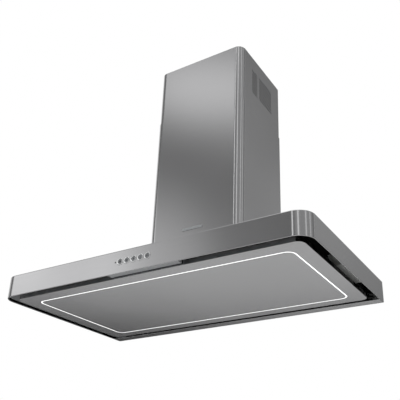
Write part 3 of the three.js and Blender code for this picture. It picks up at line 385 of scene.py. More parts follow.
def turned(shape, axis, centre, profile, sides=32, closed=False):
    """Adds a turned solid: a profile of (radius, along) in metres, spun round an axis through the centre."""
    along = Vector({"X": (1, 0, 0), "Y": (0, 1, 0), "Z": (0, 0, 1)}[axis])
    across = Vector((0, 0, 1)) if axis != "Z" else Vector((1, 0, 0))
    third = along.cross(across)
    rings = []
    for radius, distance in profile:
        middle = Vector(centre) + along * distance
        count = sides if radius else 1
        angles = [2 * math.pi * k / sides for k in range(count)]
        rings.append(
            [shape.verts.new(middle + radius * (math.cos(a) * across + math.sin(a) * third)) for a in angles]
        )
    pairs = list(zip(rings, rings[1:])) + ([(rings[-1], rings[0])] if closed else [])
    faces = []
    for a, b in pairs:
        for k in range(sides):
            n = (k + 1) % sides
            corners = [a[k % len(a)], a[n % len(a)], b[n % len(b)], b[k % len(b)]]
            faces.append(shape.faces.new(list(dict.fromkeys(corners))))
    bmesh.ops.recalc_face_normals(shape, faces=faces)
    return faces


def add_box(shape, low, high):
    """Adds a closed box between two corners and gives its faces."""
    low, high = Vector(low), Vector(high)
    place = Matrix.Translation((low + high) / 2) @ Matrix.Diagonal((*(high - low), 1.0))
    verts = bmesh.ops.create_cube(shape, size=1.0, matrix=place)["verts"]
    return {face for vert in verts for face in vert.link_faces}


# ---------------------------------------------------------------- geometry node trees


def new_tree(name, **sockets):
    """An empty tree with named inputs, and its input and output nodes."""
    tree = bpy.data.node_groups.new(name, "GeometryNodeTree")
    tree.interface.new_socket("Geometry", in_out="INPUT", socket_type="NodeSocketGeometry")
    for label, kind in sockets.items():
        tree.interface.new_socket(label.replace("_", " "), in_out="INPUT", socket_type="NodeSocket" + kind)
    tree.interface.new_socket("Geometry", in_out="OUTPUT", socket_type="NodeSocketGeometry")
    given = node(tree, "NodeGroupInput")
    return tree, given.outputs


def close_tree(tree, geometry, finish, where=None):
    """Ends a tree: instances become mesh, and the mesh gets its finish, or the faces chosen by where do."""
    real = node(tree, "GeometryNodeRealizeInstances", {"Geometry": geometry})
    ends = {"Geometry": real, "Material": finish}
    if where is not None:
        ends["Selection"] = where
    painted = node(tree, "GeometryNodeSetMaterial", ends)
    node(tree, "NodeGroupOutput", {"Geometry": painted})
    return tree


def grow(piece, tree, **values):
    """Runs a tree on the piece with these inputs and keeps the result as its plain mesh."""
    modifier = piece.modifiers.new(tree.name, "NODES")
    modifier.node_group = tree
    sockets = {s.name: s.identifier for s in tree.interface.items_tree if s.in_out == "INPUT"}
    for label, value in values.items():
        modifier[sockets[label.replace("_", " ")]] = value
    piece.update_tag()
    bpy.context.view_layer.update()
    return flattened(piece)


def calc(tree, operation, *values):
    """One sum on numbers or sockets, and the socket that holds its result."""
    return node(tree, "ShaderNodeMath", dict(enumerate(values)), operation=operation).outputs[0]


def perforation_tree():
    """Round holes in staggered rows, punched from side to side through a folded cover."""
    tree, given = new_tree(
        "punched_holes",
        Hole_Diameter="Float",
        Pitch="Float",
        Rows="Int",
        Columns="Int",
        Centre="Vector",
        Reach="Float",
        Inside_Limit="Float",
        Finish="Material",
    )
    pitch = given["Pitch"]
    row_step = calc(tree, "MULTIPLY", pitch, math.sqrt(0.75))
    height = calc(tree, "MULTIPLY", row_step, calc(tree, "SUBTRACT", given["Rows"], 1.0))
    width = calc(tree, "MULTIPLY", pitch, calc(tree, "SUBTRACT", given["Columns"], 1.0))
    grid = node(
        tree,
        "GeometryNodeMeshGrid",
        {"Size X": height, "Size Y": width, "Vertices X": given["Rows"], "Vertices Y": given["Columns"]},
    )
    index = node(tree, "GeometryNodeInputIndex")
    row = calc(tree, "FLOOR", calc(tree, "DIVIDE", index.outputs[0], given["Columns"]))
    odd = calc(tree, "SUBTRACT", calc(tree, "MODULO", row, 2.0), 0.5)
    sideways = node(
        tree, "ShaderNodeCombineXYZ", {"Y": calc(tree, "MULTIPLY", odd, calc(tree, "MULTIPLY", pitch, 0.5))}
    )
    staggered = node(tree, "GeometryNodeSetPosition", {"Geometry": grid, "Offset": sideways})
    punch = node(
        tree,
        "GeometryNodeMeshCylinder",
        {
            "Vertices": 12,
            "Radius": calc(tree, "MULTIPLY", given["Hole Diameter"], 0.5),
            "Depth": given["Reach"],
        },
    )
    punches = node(tree, "GeometryNodeInstanceOnPoints", {"Points": staggered, "Instance": punch.outputs[0]})
    real = node(tree, "GeometryNodeRealizeInstances", {"Geometry": punches})
    turned = node(
        tree,
        "GeometryNodeTransform",
        {"Geometry": real, "Translation": given["Centre"], "Rotation": (0.0, math.pi / 2, 0.0)},
    )
    cut = node(
        tree,
        "GeometryNodeMeshBoolean",
        {"Mesh 1": given["Geometry"], "Mesh 2": turned},
        operation="DIFFERENCE",
        solver="MANIFOLD",
    )
    # A face that looks towards the middle from further out than the limit takes the finish.
    facing = node(tree, "GeometryNodeInputNormal")
    place = node(tree, "GeometryNodeInputPosition")
    outward = node(tree, "ShaderNodeVectorMath", {0: facing, 1: place}, operation="DOT_PRODUCT")
    inward_faces = calc(tree, "LESS_THAN", outward.outputs["Value"], given["Inside Limit"])
    return close_tree(tree, cut, given["Finish"], inward_faces)


def rows_tree():
    """Copies of the piece in straight rows, all turned the same way."""
    tree, given = new_tree(
        "copies_in_rows",
        Columns="Int",
        Rows="Int",
        First="Vector",
        Step="Vector",
        Row_Step="Vector",
        Turn="Vector",
        Finish="Material",
    )
    row = node(
        tree,
        "GeometryNodeMeshLine",
        {"Count": given["Columns"], "Start Location": given["First"], "Offset": given["Step"]},
    )
    starts = node(tree, "GeometryNodeMeshLine", {"Count": given["Rows"], "Offset": given["Row Step"]})
    rows = node(tree, "GeometryNodeInstanceOnPoints", {"Points": starts, "Instance": row})
    places = node(tree, "GeometryNodeRealizeInstances", {"Geometry": rows})
    copies = node(
        tree,
        "GeometryNodeInstanceOnPoints",
        {"Points": places, "Instance": given["Geometry"], "Rotation": given["Turn"]},
    )
    return close_tree(tree, copies, given["Finish"])


def ring_tree():
    """Copies of the piece round the X axis, which is moved to the centre afterwards."""
    tree, given = new_tree("copies_round_axis", Count="Int", Centre="Vector", Finish="Material")
    places = node(tree, "GeometryNodeMeshLine", {"Count": given["Count"], "Offset": (0.0, 0.0, 0.0)})
    index = node(tree, "GeometryNodeInputIndex")
    angle = calc(tree, "MULTIPLY", index.outputs[0], calc(tree, "DIVIDE", 2 * math.pi, given["Count"]))
    turn = node(tree, "ShaderNodeCombineXYZ", {"X": angle})
    copies = node(
        tree,
        "GeometryNodeInstanceOnPoints",
        {"Points": places, "Instance": given["Geometry"], "Rotation": turn},
    )
    moved = node(tree, "GeometryNodeTransform", {"Geometry": copies, "Translation": given["Centre"]})
    return close_tree(tree, moved, given["Finish"])


def line_tree():
    """Copies of the piece at even steps along a rounded rectangle, turned to follow it."""
    tree, given = new_tree(
        "copies_on_light_line",
        Width="Float",
        Depth="Float",
        Corner="Float",
        Step="Float",
        Centre="Vector",
        Finish="Material",
    )
    outline = node(
        tree, "GeometryNodeCurvePrimitiveQuadrilateral", {"Width": given["Width"], "Height": given["Depth"]}
    )
    corners = {"Curve": outline, "Radius": given["Corner"], "Count": 8}
    rounded = node(tree, "GeometryNodeFilletCurve", corners, mode="POLY")
    spaced = node(
        tree, "GeometryNodeResampleCurve", {"Curve": rounded, "Length": given["Step"]}, mode="LENGTH"
    )
    along = node(tree, "GeometryNodeInputTangent")
    turn = node(tree, "FunctionNodeAlignRotationToVector", {"Vector": along}, axis="X")
    copies = node(
        tree,
        "GeometryNodeInstanceOnPoints",
        {"Points": spaced, "Instance": given["Geometry"], "Rotation": turn},
    )
    moved = node(tree, "GeometryNodeTransform", {"Geometry": copies, "Translation": given["Centre"]})
    return close_tree(tree, moved, given["Finish"])


def expanded_metal_tree():
    """Stacked sheets of expanded metal: zigzag strands side by side, each second one turned over."""
    tree, given = new_tree(
        "expanded_metal",
        Strands="Int",
        Zigzags="Int",
        Layers="Int",
        Strand_Spacing="Float",
        Zigzag_Step="Float",
        Layer_Step="Float",
        Wire="Float",
        Corner="Vector",
        Finish="Material",
    )
    spacing, step = given["Strand Spacing"], given["Zigzag Step"]
    run = node(tree, "ShaderNodeCombineXYZ", {"X": step})
    line = node(tree, "GeometryNodeMeshLine", {"Count": given["Zigzags"], "Offset": run})
    index = node(tree, "GeometryNodeInputIndex").outputs[0]
    odd = calc(tree, "MODULO", index, 2.0)
    side = calc(tree, "MULTIPLY", calc(tree, "SUBTRACT", odd, 0.5), calc(tree, "MULTIPLY", spacing, 0.94))
    bent = node(
        tree,
        "GeometryNodeSetPosition",
        {"Geometry": line, "Offset": node(tree, "ShaderNodeCombineXYZ", {"Y": side})},
    )
    path = node(tree, "GeometryNodeMeshToCurve", {"Mesh": bent})
    section = node(
        tree, "GeometryNodeCurvePrimitiveQuadrilateral", {"Width": given["Wire"], "Height": given["Wire"]}
    )
    strand = node(
        tree, "GeometryNodeCurveToMesh", {"Curve": path, "Profile Curve": section, "Fill Caps": True}
    )
    beside = node(tree, "ShaderNodeCombineXYZ", {"Y": spacing})
    places = node(tree, "GeometryNodeMeshLine", {"Count": given["Strands"], "Offset": beside})
    turned_over = node(tree, "ShaderNodeCombineXYZ", {"X": calc(tree, "MULTIPLY", odd, math.pi)})
    sheet = node(
        tree,
        "GeometryNodeInstanceOnPoints",
        {"Points": places, "Instance": strand, "Rotation": turned_over},
    )
    real = node(tree, "GeometryNodeRealizeInstances", {"Geometry": sheet})
    above = node(tree, "ShaderNodeCombineXYZ", {"Z": given["Layer Step"]})
    levels = node(tree, "GeometryNodeMeshLine", {"Count": given["Layers"], "Offset": above})
    half_step = calc(tree, "MULTIPLY", odd, calc(tree, "MULTIPLY", step, 0.5))
    half_space = calc(tree, "MULTIPLY", odd, calc(tree, "MULTIPLY", spacing, 0.5))
    shifted = node(
        tree,
        "GeometryNodeSetPosition",
        {"Geometry": levels, "Offset": node(tree, "ShaderNodeCombineXYZ", {"X": half_step, "Y": half_space})},
    )
    stack = node(tree, "GeometryNodeInstanceOnPoints", {"Points": shifted, "Instance": real})
    moved = node(tree, "GeometryNodeTransform", {"Geometry": stack, "Translation": given["Corner"]})
    return close_tree(tree, moved, given["Finish"])


def bored(piece, cutters):
    """Takes the cutters' shapes out of the piece, then throws the cutters away."""
    for cutter in cutters:
        boolean = piece.modifiers.new("bore", "BOOLEAN")
        boolean.operation = "DIFFERENCE"
        boolean.solver = "EXACT"
        boolean.object = cutter
    bpy.context.view_layer.update()
    flattened(piece)
    for cutter in cutters:
        bpy.data.objects.remove(cutter)
    return piece


def cutter_box(low, high):
    """A box between two corners, to cut with."""
    shape = bmesh.new()
    add_box(shape, low, high)
    return piece_from("cutter", shape)


def cutter_rod(centre, radius, reach, sides):
    """A rod along Y that reaches this far to both sides of its centre, to cut with."""
    shape = bmesh.new()
    bmesh.ops.create_cone(
        shape, cap_ends=True, segments=sides, radius1=radius, radius2=radius, depth=2 * reach
    )
    shape.transform(Matrix.Translation(Vector(centre)) @ Matrix.Rotation(math.pi / 2, 4, "X"))
    return piece_from("cutter", shape)


# ---------------------------------------------------------------- canopy

CANOPY_CORNER = 40 * MM
SHEET = 1.2 * MM
HEM = 8 * MM
TOP_BEND = 2.4 * MM
TOP_BORDER = 27 * MM
HEM_RINGS = 7  # the first rings of the section, round the hem's outside
INTAKE_LOW, INTAKE_HIGH = (-115 * MM, -224.2 * MM), (115 * MM, -94.2 * MM)  # the blower's opening in the top
CUT_REACH = 9 * MM  # how far a cutter stands past the sheet on each side
BUTTON_BORE = 9.05 * MM
LENS_BORE = 2.1 * MM
BRUSHED, COATED, PAINTED_SHADE = 0, 1, 2  # the canopy's finishes, in the order that its mesh holds them


def canopy_skin():
    """The canopy's folded sheet: bent at the top, hemmed at the bottom, coated inside. Its ceiling and the
    wall beside the power box are black, which is painted shade.
    """
    low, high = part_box("canopy_shell")
    bottom, top = low.z, high.z
    section = arc((SHEET, bottom + SHEET), SHEET, 180, 360, 6)
    section += [(2 * SHEET, bottom + HEM), (SHEET, bottom + HEM)]
    bend_steps = 4
    section += arc((TOP_BEND, top - TOP_BEND), TOP_BEND - SHEET, 180, 90, bend_steps)
    border = len(section)  # the ring where the sheet's underside meets the open middle
    ceiling = border - bend_steps - 1  # the first ring of the ceiling, black for painted shade
    section += [(TOP_BORDER, top - SHEET), (TOP_BORDER, top)]
    section += arc((TOP_BEND, top - TOP_BEND), TOP_BEND, 90, 180, 5)
    shape = bmesh.new()
    rings = []
    for inset, z in section:
        outline = open_outline(high.x, low.y, high.y, CANOPY_CORNER, inset)
        rings.append([shape.verts.new((x, y, z)) for x, y in outline])
    for i, (a, b) in enumerate(zip(rings, rings[1:] + rings[:1])):
        if i == border:
            continue
        finish = BRUSHED
        if HEM_RINGS <= i < border:
            # the ceiling's black is painted shade; the lower walls keep the light grey coat
            finish = PAINTED_SHADE if i >= ceiling else COATED
        for k in range(len(a) - 1):
            shape.faces.new((a[k], a[k + 1], b[k + 1], b[k])).material_index = finish
    under, over = rings[border], rings[border + 1]
    shape.faces.new(under).material_index = PAINTED_SHADE
    shape.faces.new(list(reversed(over)))
    shape.faces.new((under[0], over[0], over[-1], under[-1]))
    for end in (0, -1):
        shape.faces.new([ring[end] for ring in rings])
    bmesh.ops.recalc_face_normals(shape, faces=shape.faces)
    for face in shape.faces:
        if face.material_index == COATED and face.calc_center_median().x > high.x - CANOPY_CORNER:
            face.material_index = PAINTED_SHADE  # the wall beside the power box is black too: painted shade
    piece = piece_from("canopy_skin", shape, steel_walls, grey_coat, painted_shade_black)
    cutters = [cutter_box((*INTAKE_LOW, top - CUT_REACH), (*INTAKE_HIGH, top + CUT_REACH))]
    bores = [(f"button_{i}", BUTTON_BORE, 48) for i in range(1, 6)] + [("indicator_lens", LENS_BORE, 20)]
    for node_name, radius, sides in bores:
        middle = sum(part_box(node_name), Vector()) / 2
        cutters.append(cutter_rod((middle.x, low.y, middle.z), radius, CUT_REACH, sides))
    bored(piece, cutters)
    settle(piece)
    place_on(piece, "hood", "brushed_stainless", "canopy_shell")


COVER_SHEET = 1.0 * MM
COVER_BEND = 1.6 * MM
COVER_LIP = 14 * MM
LOWER_CORNER, UPPER_CORNER = 25 * MM, 23.5 * MM  # the upper cover slides inside the lower one


def folded_cover(name, node_name, corner):
    """A chimney cover: one sheet round the front and sides, with a narrow lip folded in at each back edge."""
    low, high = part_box(node_name)
    half, front, back = high.x, low.y, high.y
    outer, inner = [], []
    for points, inset in ((outer, 0.0), (inner, COVER_SHEET)):
        plan = open_outline(half, front, back, corner, inset, 16)[1:-1]
        turn = arc((half - COVER_BEND, back - COVER_BEND), COVER_BEND - inset, 0, 90, 4)
        tip = [(half - COVER_LIP, back - inset)]
        left = [(-x, y) for x, y in reversed(turn + tip)]
        points.extend(left + plan + turn + tip)
    shape = bmesh.new()
    rows = [
        [shape.verts.new((x, y, z)) for x, y in points]
        for points, z in ((outer, low.z), (outer, high.z), (inner, high.z), (inner, low.z))
    ]
    for i in range(4):
        a, b = rows[i], rows[(i + 1) % 4]
        for k in range(len(a) - 1):
            face = shape.faces.new((a[k], a[k + 1], b[k + 1], b[k]))
            # the inner side takes the dark finish, which is painted shade
            face.material_index = 1 if i == 2 else 0
    for end in (0, -1):
        shape.faces.new([row[end] for row in rows])
    bmesh.ops.recalc_face_normals(shape, faces=shape.faces)
    return piece_from(name, shape, steel_walls, cover_inside_painted_shade)


VENT_HOLE = 5.2 * MM
VENT_PITCH = 8.4 * MM
VENT_ROWS = 12
VENT_BELOW_TOP = 91 * MM
VENT_FIELDS = ((171 * MM, 4), (99 * MM, 10))  # from the wall to each field's middle, and its columns
KEEP_ALL_FINISHES = -1.0  # no face is a metre out, so each keeps the finish that it has
SCREEN_GAP = 0.3 * MM
SCREEN_SETBACK = 4 * MM
SCREEN_BACK, SCREEN_FRONT = -50 * MM, -196 * MM
SCREEN_HEIGHT = 108 * MM
SCREEN_FOLD = 6 * MM
SCREEN_SHEET = 1.0 * MM


def chimney_covers():
    """The two covers. The upper one has two fields of punched holes in each side."""
    lower = folded_cover("lower_chimney_cover", "lower_chimney", LOWER_CORNER)
    settle(lower, 0.25)
    place_on(lower, "hood", "brushed_stainless", "lower_chimney")
    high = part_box("upper_chimney")[1]
    upper = folded_cover("upper_chimney_cover", "upper_chimney", UPPER_CORNER)
    settle(upper, 0.25)
    holes = perforation_tree()
    for from_wall, columns in VENT_FIELDS:
        grow(
            upper,
            holes,
            Hole_Diameter=VENT_HOLE,
            Pitch=VENT_PITCH,
            Rows=VENT_ROWS,
            Columns=columns,
            Centre=(0.0, -from_wall, high.z - VENT_BELOW_TOP),
            Reach=2 * (high.x + 10 * MM),
            Inside_Limit=KEEP_ALL_FINISHES,
            Finish=cover_inside_painted_shade,
        )
    settle(upper)
    place_on(upper, "upper_cover", "brushed_stainless", "upper_chimney")


def vent_shade_screen(side):
    """A screen that stands off the inside of the cover, behind its holes, on folded edges. Its black is
    painted shade, for the dark inside of the chimney seen through the holes.
    """
    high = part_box("upper_chimney")[1]
    wall = high.x - COVER_SHEET - SCREEN_GAP
    face = wall - SCREEN_SETBACK
    bottom = high.z - VENT_BELOW_TOP - SCREEN_HEIGHT / 2
    top = bottom + SCREEN_HEIGHT
    shape = bmesh.new()
    rows = []
    for x, inset in ((wall, 0.0), (face, 0.0), (face, SCREEN_FOLD)):
        front, back, foot, head = SCREEN_FRONT + inset, SCREEN_BACK - inset, bottom + inset, top - inset
        corners = ((front, foot), (back, foot), (back, head), (front, head))
        rows.append([shape.verts.new((x, y, z)) for y, z in corners])
    for a, b in zip(rows, rows[1:]):
        for k in range(4):
            shape.faces.new((a[k], a[(k + 1) % 4], b[(k + 1) % 4], b[k]))
    shape.faces.new(rows[-1])
    bmesh.ops.recalc_face_normals(shape, faces=shape.faces)
    if side < 0:
        for vert in shape.verts:
            vert.co.x = -vert.co.x
        bmesh.ops.reverse_faces(shape, faces=shape.faces)
    word = "left" if side < 0 else "right"
    # the matt black is painted shade behind the holes
    piece = piece_from(f"vent_shade_screen_{word}", shape, painted_shade_black)
    sheet = piece.modifiers.new("sheet", "SOLIDIFY")
    sheet.thickness = SCREEN_SHEET
    sheet.offset = -1.0
    flattened(piece)
    settle(piece, 0.2)
    place_on(piece, "upper_cover", "black_plastic")


canopy_skin()
chimney_covers()
for side in (-1, 1):
    vent_shade_screen(side)


# ---------------------------------------------------------------- buttons

CAP_RADIUS = 6.2 * MM
COLLAR_RADIUS = 8.7 * MM  # the collar keeps the cap from falling out of its ring
STEM_RADIUS = 3.0 * MM
COLLAR_BACK, COLLAR_FRONT = 8.5 * MM, 9.5 * MM  # measured from the stem's rear end
MARK_LINE = 0.7 * MM


def mark_shapes(kind):
    """A button's printed mark in millimetres: bars as (x, z, width, height), rings as (radius, gap)."""
    bars = {
        "one": [(0, 0, 0.9, 3.6)],
        "two": [(-0.9, 0, 0.9, 3.6), (0.9, 0, 0.9, 3.6)],
        "three": [(-1.8, 0, 0.9, 3.6), (0, 0, 0.9, 3.6), (1.8, 0, 0.9, 3.6)],
        "power": [(0, 1.4, 0.8, 2.6)],
        "lamp": [(0, 0, 2.0, 2.0)],
    }[kind]
    ring = {"power": (2.4, 40), "lamp": (2.8, 0)}.get(kind)
    return bars, ring


def button_cap(number, kind):
    """A push button: a spun cap with a shallow dish, a soft rim and a printed mark."""
    node_name = f"button_{number}"
    low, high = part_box(node_name)
    centre_x, centre_z = (low.x + high.x) / 2, (low.z + high.z) / 2
    face = low.y
    profile = [
        (0.0, face + 0.25 * MM),
        (CAP_RADIUS * 0.5, face + 0.2 * MM),
        (CAP_RADIUS * 0.85, face + 0.05 * MM),
        (CAP_RADIUS - 0.45 * MM, face),
        (CAP_RADIUS - 0.15 * MM, face + 0.12 * MM),
        (CAP_RADIUS, face + 0.45 * MM),
        (CAP_RADIUS, high.y - COLLAR_FRONT),
        (COLLAR_RADIUS, high.y - COLLAR_FRONT),
        (COLLAR_RADIUS, high.y - COLLAR_BACK),
        (STEM_RADIUS, high.y - COLLAR_BACK),
        (STEM_RADIUS, high.y),
        (0.0, high.y),
    ]
    shape = bmesh.new()
    turned(shape, "Y", (centre_x, 0.0, centre_z), profile, 36)
    ink = []
    bars, ring = mark_shapes(kind)
    depth = (face - 0.05 * MM, face + 0.3 * MM)
    for x, z, width, height in bars:
        left, right = centre_x + (x - width / 2) * MM, centre_x + (x + width / 2) * MM
        foot, head = centre_z + (z - height / 2) * MM, centre_z + (z + height / 2) * MM
        ink.extend(add_box(shape, (left, depth[0], foot), (right, depth[1], head)))
    if ring:
        reach, gap = ring
        ink.extend(ring_mark(shape, centre_x, centre_z, reach * MM, MARK_LINE, gap, depth))
    for face_of_ink in set(ink):
        face_of_ink.material_index = 1
    layer = shape.loops.layers.uv.new("face")
    for each in shape.faces:
        for loop in each.loops:
            loop[layer].uv = ((loop.vert.co.x - centre_x) / MM, (loop.vert.co.z - centre_z) / MM)
    bmesh.ops.recalc_face_normals(shape, faces=shape.faces)
    piece = piece_from(f"button_{number}_cap", shape, cap_steel, dark_ink)
    settle(piece)
    place_on(piece, f"push_button_{number}", "button_metal", node_name)


def ring_mark(shape, x, z, radius, width, gap, depth):
    """A flat ring, open at the top by the gap in degrees."""
    steps = 24
    start, end = math.radians(90 + gap), math.radians(450 - gap)
    rows = []
    for i in range(steps + (1 if gap else 0)):
        angle = start + (end - start) * i / steps
        rows.append(
            [
                shape.verts.new((x + r * math.cos(angle), y, z + r * math.sin(angle)))
                for r, y in (
                    (radius, depth[0]),
                    (radius, depth[1]),
                    (radius - width, depth[1]),
                    (radius - width, depth[0]),
                )
            ]
        )
    faces = []
    pairs = list(zip(rows, rows[1:])) if gap else list(zip(rows, rows[1:] + rows[:1]))
    for a, b in pairs:
        for k in range(4):
            n = (k + 1) % 4
            faces.append(shape.faces.new((a[k], a[n], b[n], b[k])))
    if gap:
        faces += [shape.faces.new(rows[0]), shape.faces.new(list(reversed(rows[-1])))]
    return faces


for number, kind in enumerate(("lamp", "three", "two", "one", "power"), start=1):
    button_cap(number, kind)
dressed("button_frame", chrome, "polished_trim", 0.7, 3)
dressed("indicator_lens", smoked_lens, "black_plastic", 0.2)


# ---------------------------------------------------------------- suction panel

dressed("panel_frame", steel_across, "brushed_stainless", 0.5, 3)
dressed("panel_centre", steel_across, "brushed_stainless", 0.4, 3)
dressed("led_channel", mill_aluminium, "aluminium", 0.2)
dressed("led_diffuser", opal, "lit_diffuser", 0.2)
dressed("led_strip", white_abs, "white_plastic", 0.0)


# ---------------------------------------------------------------- parts that keep the CAD's shape

for side in ("left", "right"):
    dressed(f"hinge_leaf_{side}", zinc_plate, "bright_steel", 0.2)
    dressed(f"hinge_bracket_{side}", zinc_plate, "bright_steel", 0.2)
    dressed(f"hinge_pin_{side}", zinc_plate, "bright_steel", 0.3)
    dressed(f"striker_{side}", zinc_plate, "bright_steel", 0.2)
    dressed(f"catch_{side}", black_abs, "black_plastic", 0.4)
    dressed(f"filter_frame_{side}", mill_aluminium, "aluminium", 0.3)
    dressed(f"filter_latch_{side}", black_abs, "black_plastic", 0.4)
    dressed(f"chimney_clip_{side}", zinc_sheet, "galvanised_sheet", 0.2)
    dressed(f"outlet_flap_{side}", grey_abs, "grey_plastic", 0.3)

for node_name, finish, slot, edge in (
    ("canopy_back_panel", steel_walls, "brushed_stainless", 0.3),
    ("filter_carrier", zinc_sheet, "galvanised_sheet", 0.3),
    ("blower_box", zinc_sheet, "galvanised_sheet", 0.4),
    ("scroll_wrap", zinc_sheet, "galvanised_sheet", 0.3),
    ("scroll_side_left", zinc_sheet, "galvanised_sheet", 0.3),
    ("scroll_side_right", zinc_sheet, "galvanised_sheet", 0.3),
    ("motor_bracket", zinc_plate, "bright_steel", 0.2),
    ("wall_bracket_lower", zinc_sheet, "galvanised_sheet", 0.3),
    ("wall_bracket_upper", zinc_sheet, "galvanised_sheet", 0.3),
    ("blank_badge", zinc_plate, "polished_trim", 0.25),
    ("power_box", white_abs, "white_plastic", 1.0),
    ("led_driver", white_abs, "white_plastic", 1.0),
    ("cable_gland", black_abs, "black_plastic", 0.4),
    ("control_housing", grey_abs, "grey_plastic", 0.8),
    ("outlet_collar", grey_abs, "grey_plastic", 0.5),
    ("control_board", board_green, "circuit_board", 0.0),
    ("motor_shaft", zinc_plate, "bright_steel", 0.3),
):
    dressed(node_name, finish, slot, edge)


# ---------------------------------------------------------------- what repeats

in_rows = rows_tree()
round_axis = ring_tree()


def screw(name, radius, height, shank, length):
    """A pan-head screw with a cross recess, pointing down from the origin."""
    shape = bmesh.new()
    profile = [
        (0.0, height),
        (radius * 0.55, height * 0.94),
        (radius * 0.85, height * 0.7),
        (radius, height * 0.25),
        (radius, 0.0),
        (shank, 0.0),
        (shank, -length + shank),
        (0.0, -length),
    ]
    turned(shape, "Z", (0.0, 0.0, 0.0), profile, 24)
    piece = piece_from(name, shape, zinc_plate)
    arm, slit = radius * 0.5, radius * 0.12
    floor_z, above = height * 0.45, height * 1.5
    bars = ((arm, slit), (slit, arm))
    return bored(piece, [cutter_box((-x, -y, floor_z), (x, y, above)) for x, y in bars])


def blower_screws():
    """The four screws that hold the blower box down on the canopy."""
    low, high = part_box("blower_screw_1")
    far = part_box("blower_screw_4")[0]
    head = 2.5 * MM
    seat = high.z - head
    heads = screw("blower_screws", (high.x - low.x) / 2, head, 2.0 * MM, seat - low.z)
    first = ((low.x + high.x) / 2, (low.y + high.y) / 2, seat)
    row = (far.x - low.x, 0.0, 0.0)
    column = (0.0, far.y - low.y, 0.0)
    grow(heads, in_rows, Columns=2, Rows=2, First=first, Step=row, Row_Step=column, Finish=zinc_plate)
    settle(heads)
    place_on(heads, "hood", "bright_steel", *[f"blower_screw_{i}" for i in range(1, 5)])


def ear_screws(node_name):
    """Two screws through the ears at the ends of a circuit's box, heads down."""
    low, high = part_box(node_name)
    ear, ear_sheet = 12 * MM, 2 * MM
    screws = screw(f"{node_name}_screws", 3.2 * MM, 2.0 * MM, 1.4 * MM, ear_sheet)
    first = ((low.x + high.x) / 2, low.y + ear / 2, high.z - ear_sheet)
    along = (0.0, high.y - low.y - ear, 0.0)
    over = (math.pi, 0.0, 0.0)
    grow(screws, in_rows, Columns=2, Rows=1, First=first, Step=along, Turn=over, Finish=zinc_plate)
    settle(screws)
    place_on(screws, "hood", "bright_steel")


def filter_core(side):
    """The filter's core: layers of expanded aluminium."""
    low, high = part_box(f"filter_mesh_{side}")
    spacing, step, wire, layers = 5.0 * MM, 3.6 * MM, 0.9 * MM, 3
    strands = int((high.y - low.y - spacing) / spacing)
    zigzags = int((high.x - low.x - step) / step) + 1
    start_x = (low.x + high.x) / 2 - (zigzags - 0.5) * step / 2
    start_y = (low.y + high.y) / 2 - (strands - 0.5) * spacing / 2
    core = new_piece(f"filter_core_{side}", bpy.data.meshes.new(f"filter_core_{side}"))
    grow(
        core,
        expanded_metal,
        Strands=strands,
        Zigzags=zigzags,
        Layers=layers,
        Strand_Spacing=spacing,
        Zigzag_Step=step,
        Layer_Step=(high.z - low.z - 2 * wire) / (layers - 1),
        Wire=wire,
        Corner=(start_x, start_y, low.z + wire),
        Finish=mill_aluminium,
    )
    place_on(core, "hood", "aluminium", f"filter_mesh_{side}")


SHAFT_BORE = 4.3 * MM
BLADE_COUNT = 44
RIB_COUNT = 24


def impeller():
    """A double-inlet wheel: two rims, a middle web with its hub, and forward-curved blades."""
    low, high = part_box("blower_wheel")
    centre = (low + high) / 2
    half, outer, inner, rim = high.x - centre.x, high.z - centre.z, 61 * MM, 2.5 * MM
    hub, web = 12 * MM, 1.2 * MM
    shape = bmesh.new()
    disc = [
        (SHAFT_BORE, -web),
        (outer - MM, -web),
        (outer - MM, web),
        (hub + MM, web),
        (hub, 2 * web),
        (hub, hub),
        (SHAFT_BORE, hub),
    ]
    turned(shape, "X", centre, disc, 48, closed=True)
    for side in (-1, 1):
        ends = (side * half, side * (half - rim))
        ring = [(inner, ends[0]), (outer, ends[0]), (outer, ends[1]), (inner, ends[1])]
        turned(shape, "X", centre, ring, 48, closed=True)
    wheel = piece_from("impeller_wheel", shape, zinc_sheet)
    settle(wheel, 0.2)
    place_on(wheel, "blower_rotor", "galvanised_sheet", "blower_wheel")

    blade = bmesh.new()
    thickness, bend, sweep, lean, steps = 1.0 * MM, 8.5 * MM, 95, 30, 7
    play = 0.1 * MM
    length = half - rim - play
    middle = (inner + outer) / 2
    outside = arc((0.0, middle), bend, lean - sweep / 2, lean + sweep / 2, steps)
    inside = arc((0.0, middle), bend - thickness, lean - sweep / 2, lean + sweep / 2, steps)
    outline = outside + inside[::-1]
    drop = middle - sum(z for _, z in outline) / len(outline)
    for a, b in ((-length, -web - play), (web + play, length)):
        ends = [[blade.verts.new((x, y, z + drop)) for y, z in outline] for x in (a, b)]
        for k in range(len(outline)):
            n = (k + 1) % len(outline)
            blade.faces.new((ends[0][k], ends[0][n], ends[1][n], ends[1][k]))
        for i in range(steps):
            for end in ends:
                blade.faces.new((end[i], end[i + 1], end[-2 - i], end[-1 - i]))
    bmesh.ops.recalc_face_normals(blade, faces=blade.faces)
    blades = piece_from("impeller_blades", blade, zinc_sheet)
    grow(blades, round_axis, Count=BLADE_COUNT, Centre=tuple(centre), Finish=zinc_sheet)
    settle(blades)
    place_on(blades, "blower_rotor", "galvanised_sheet")


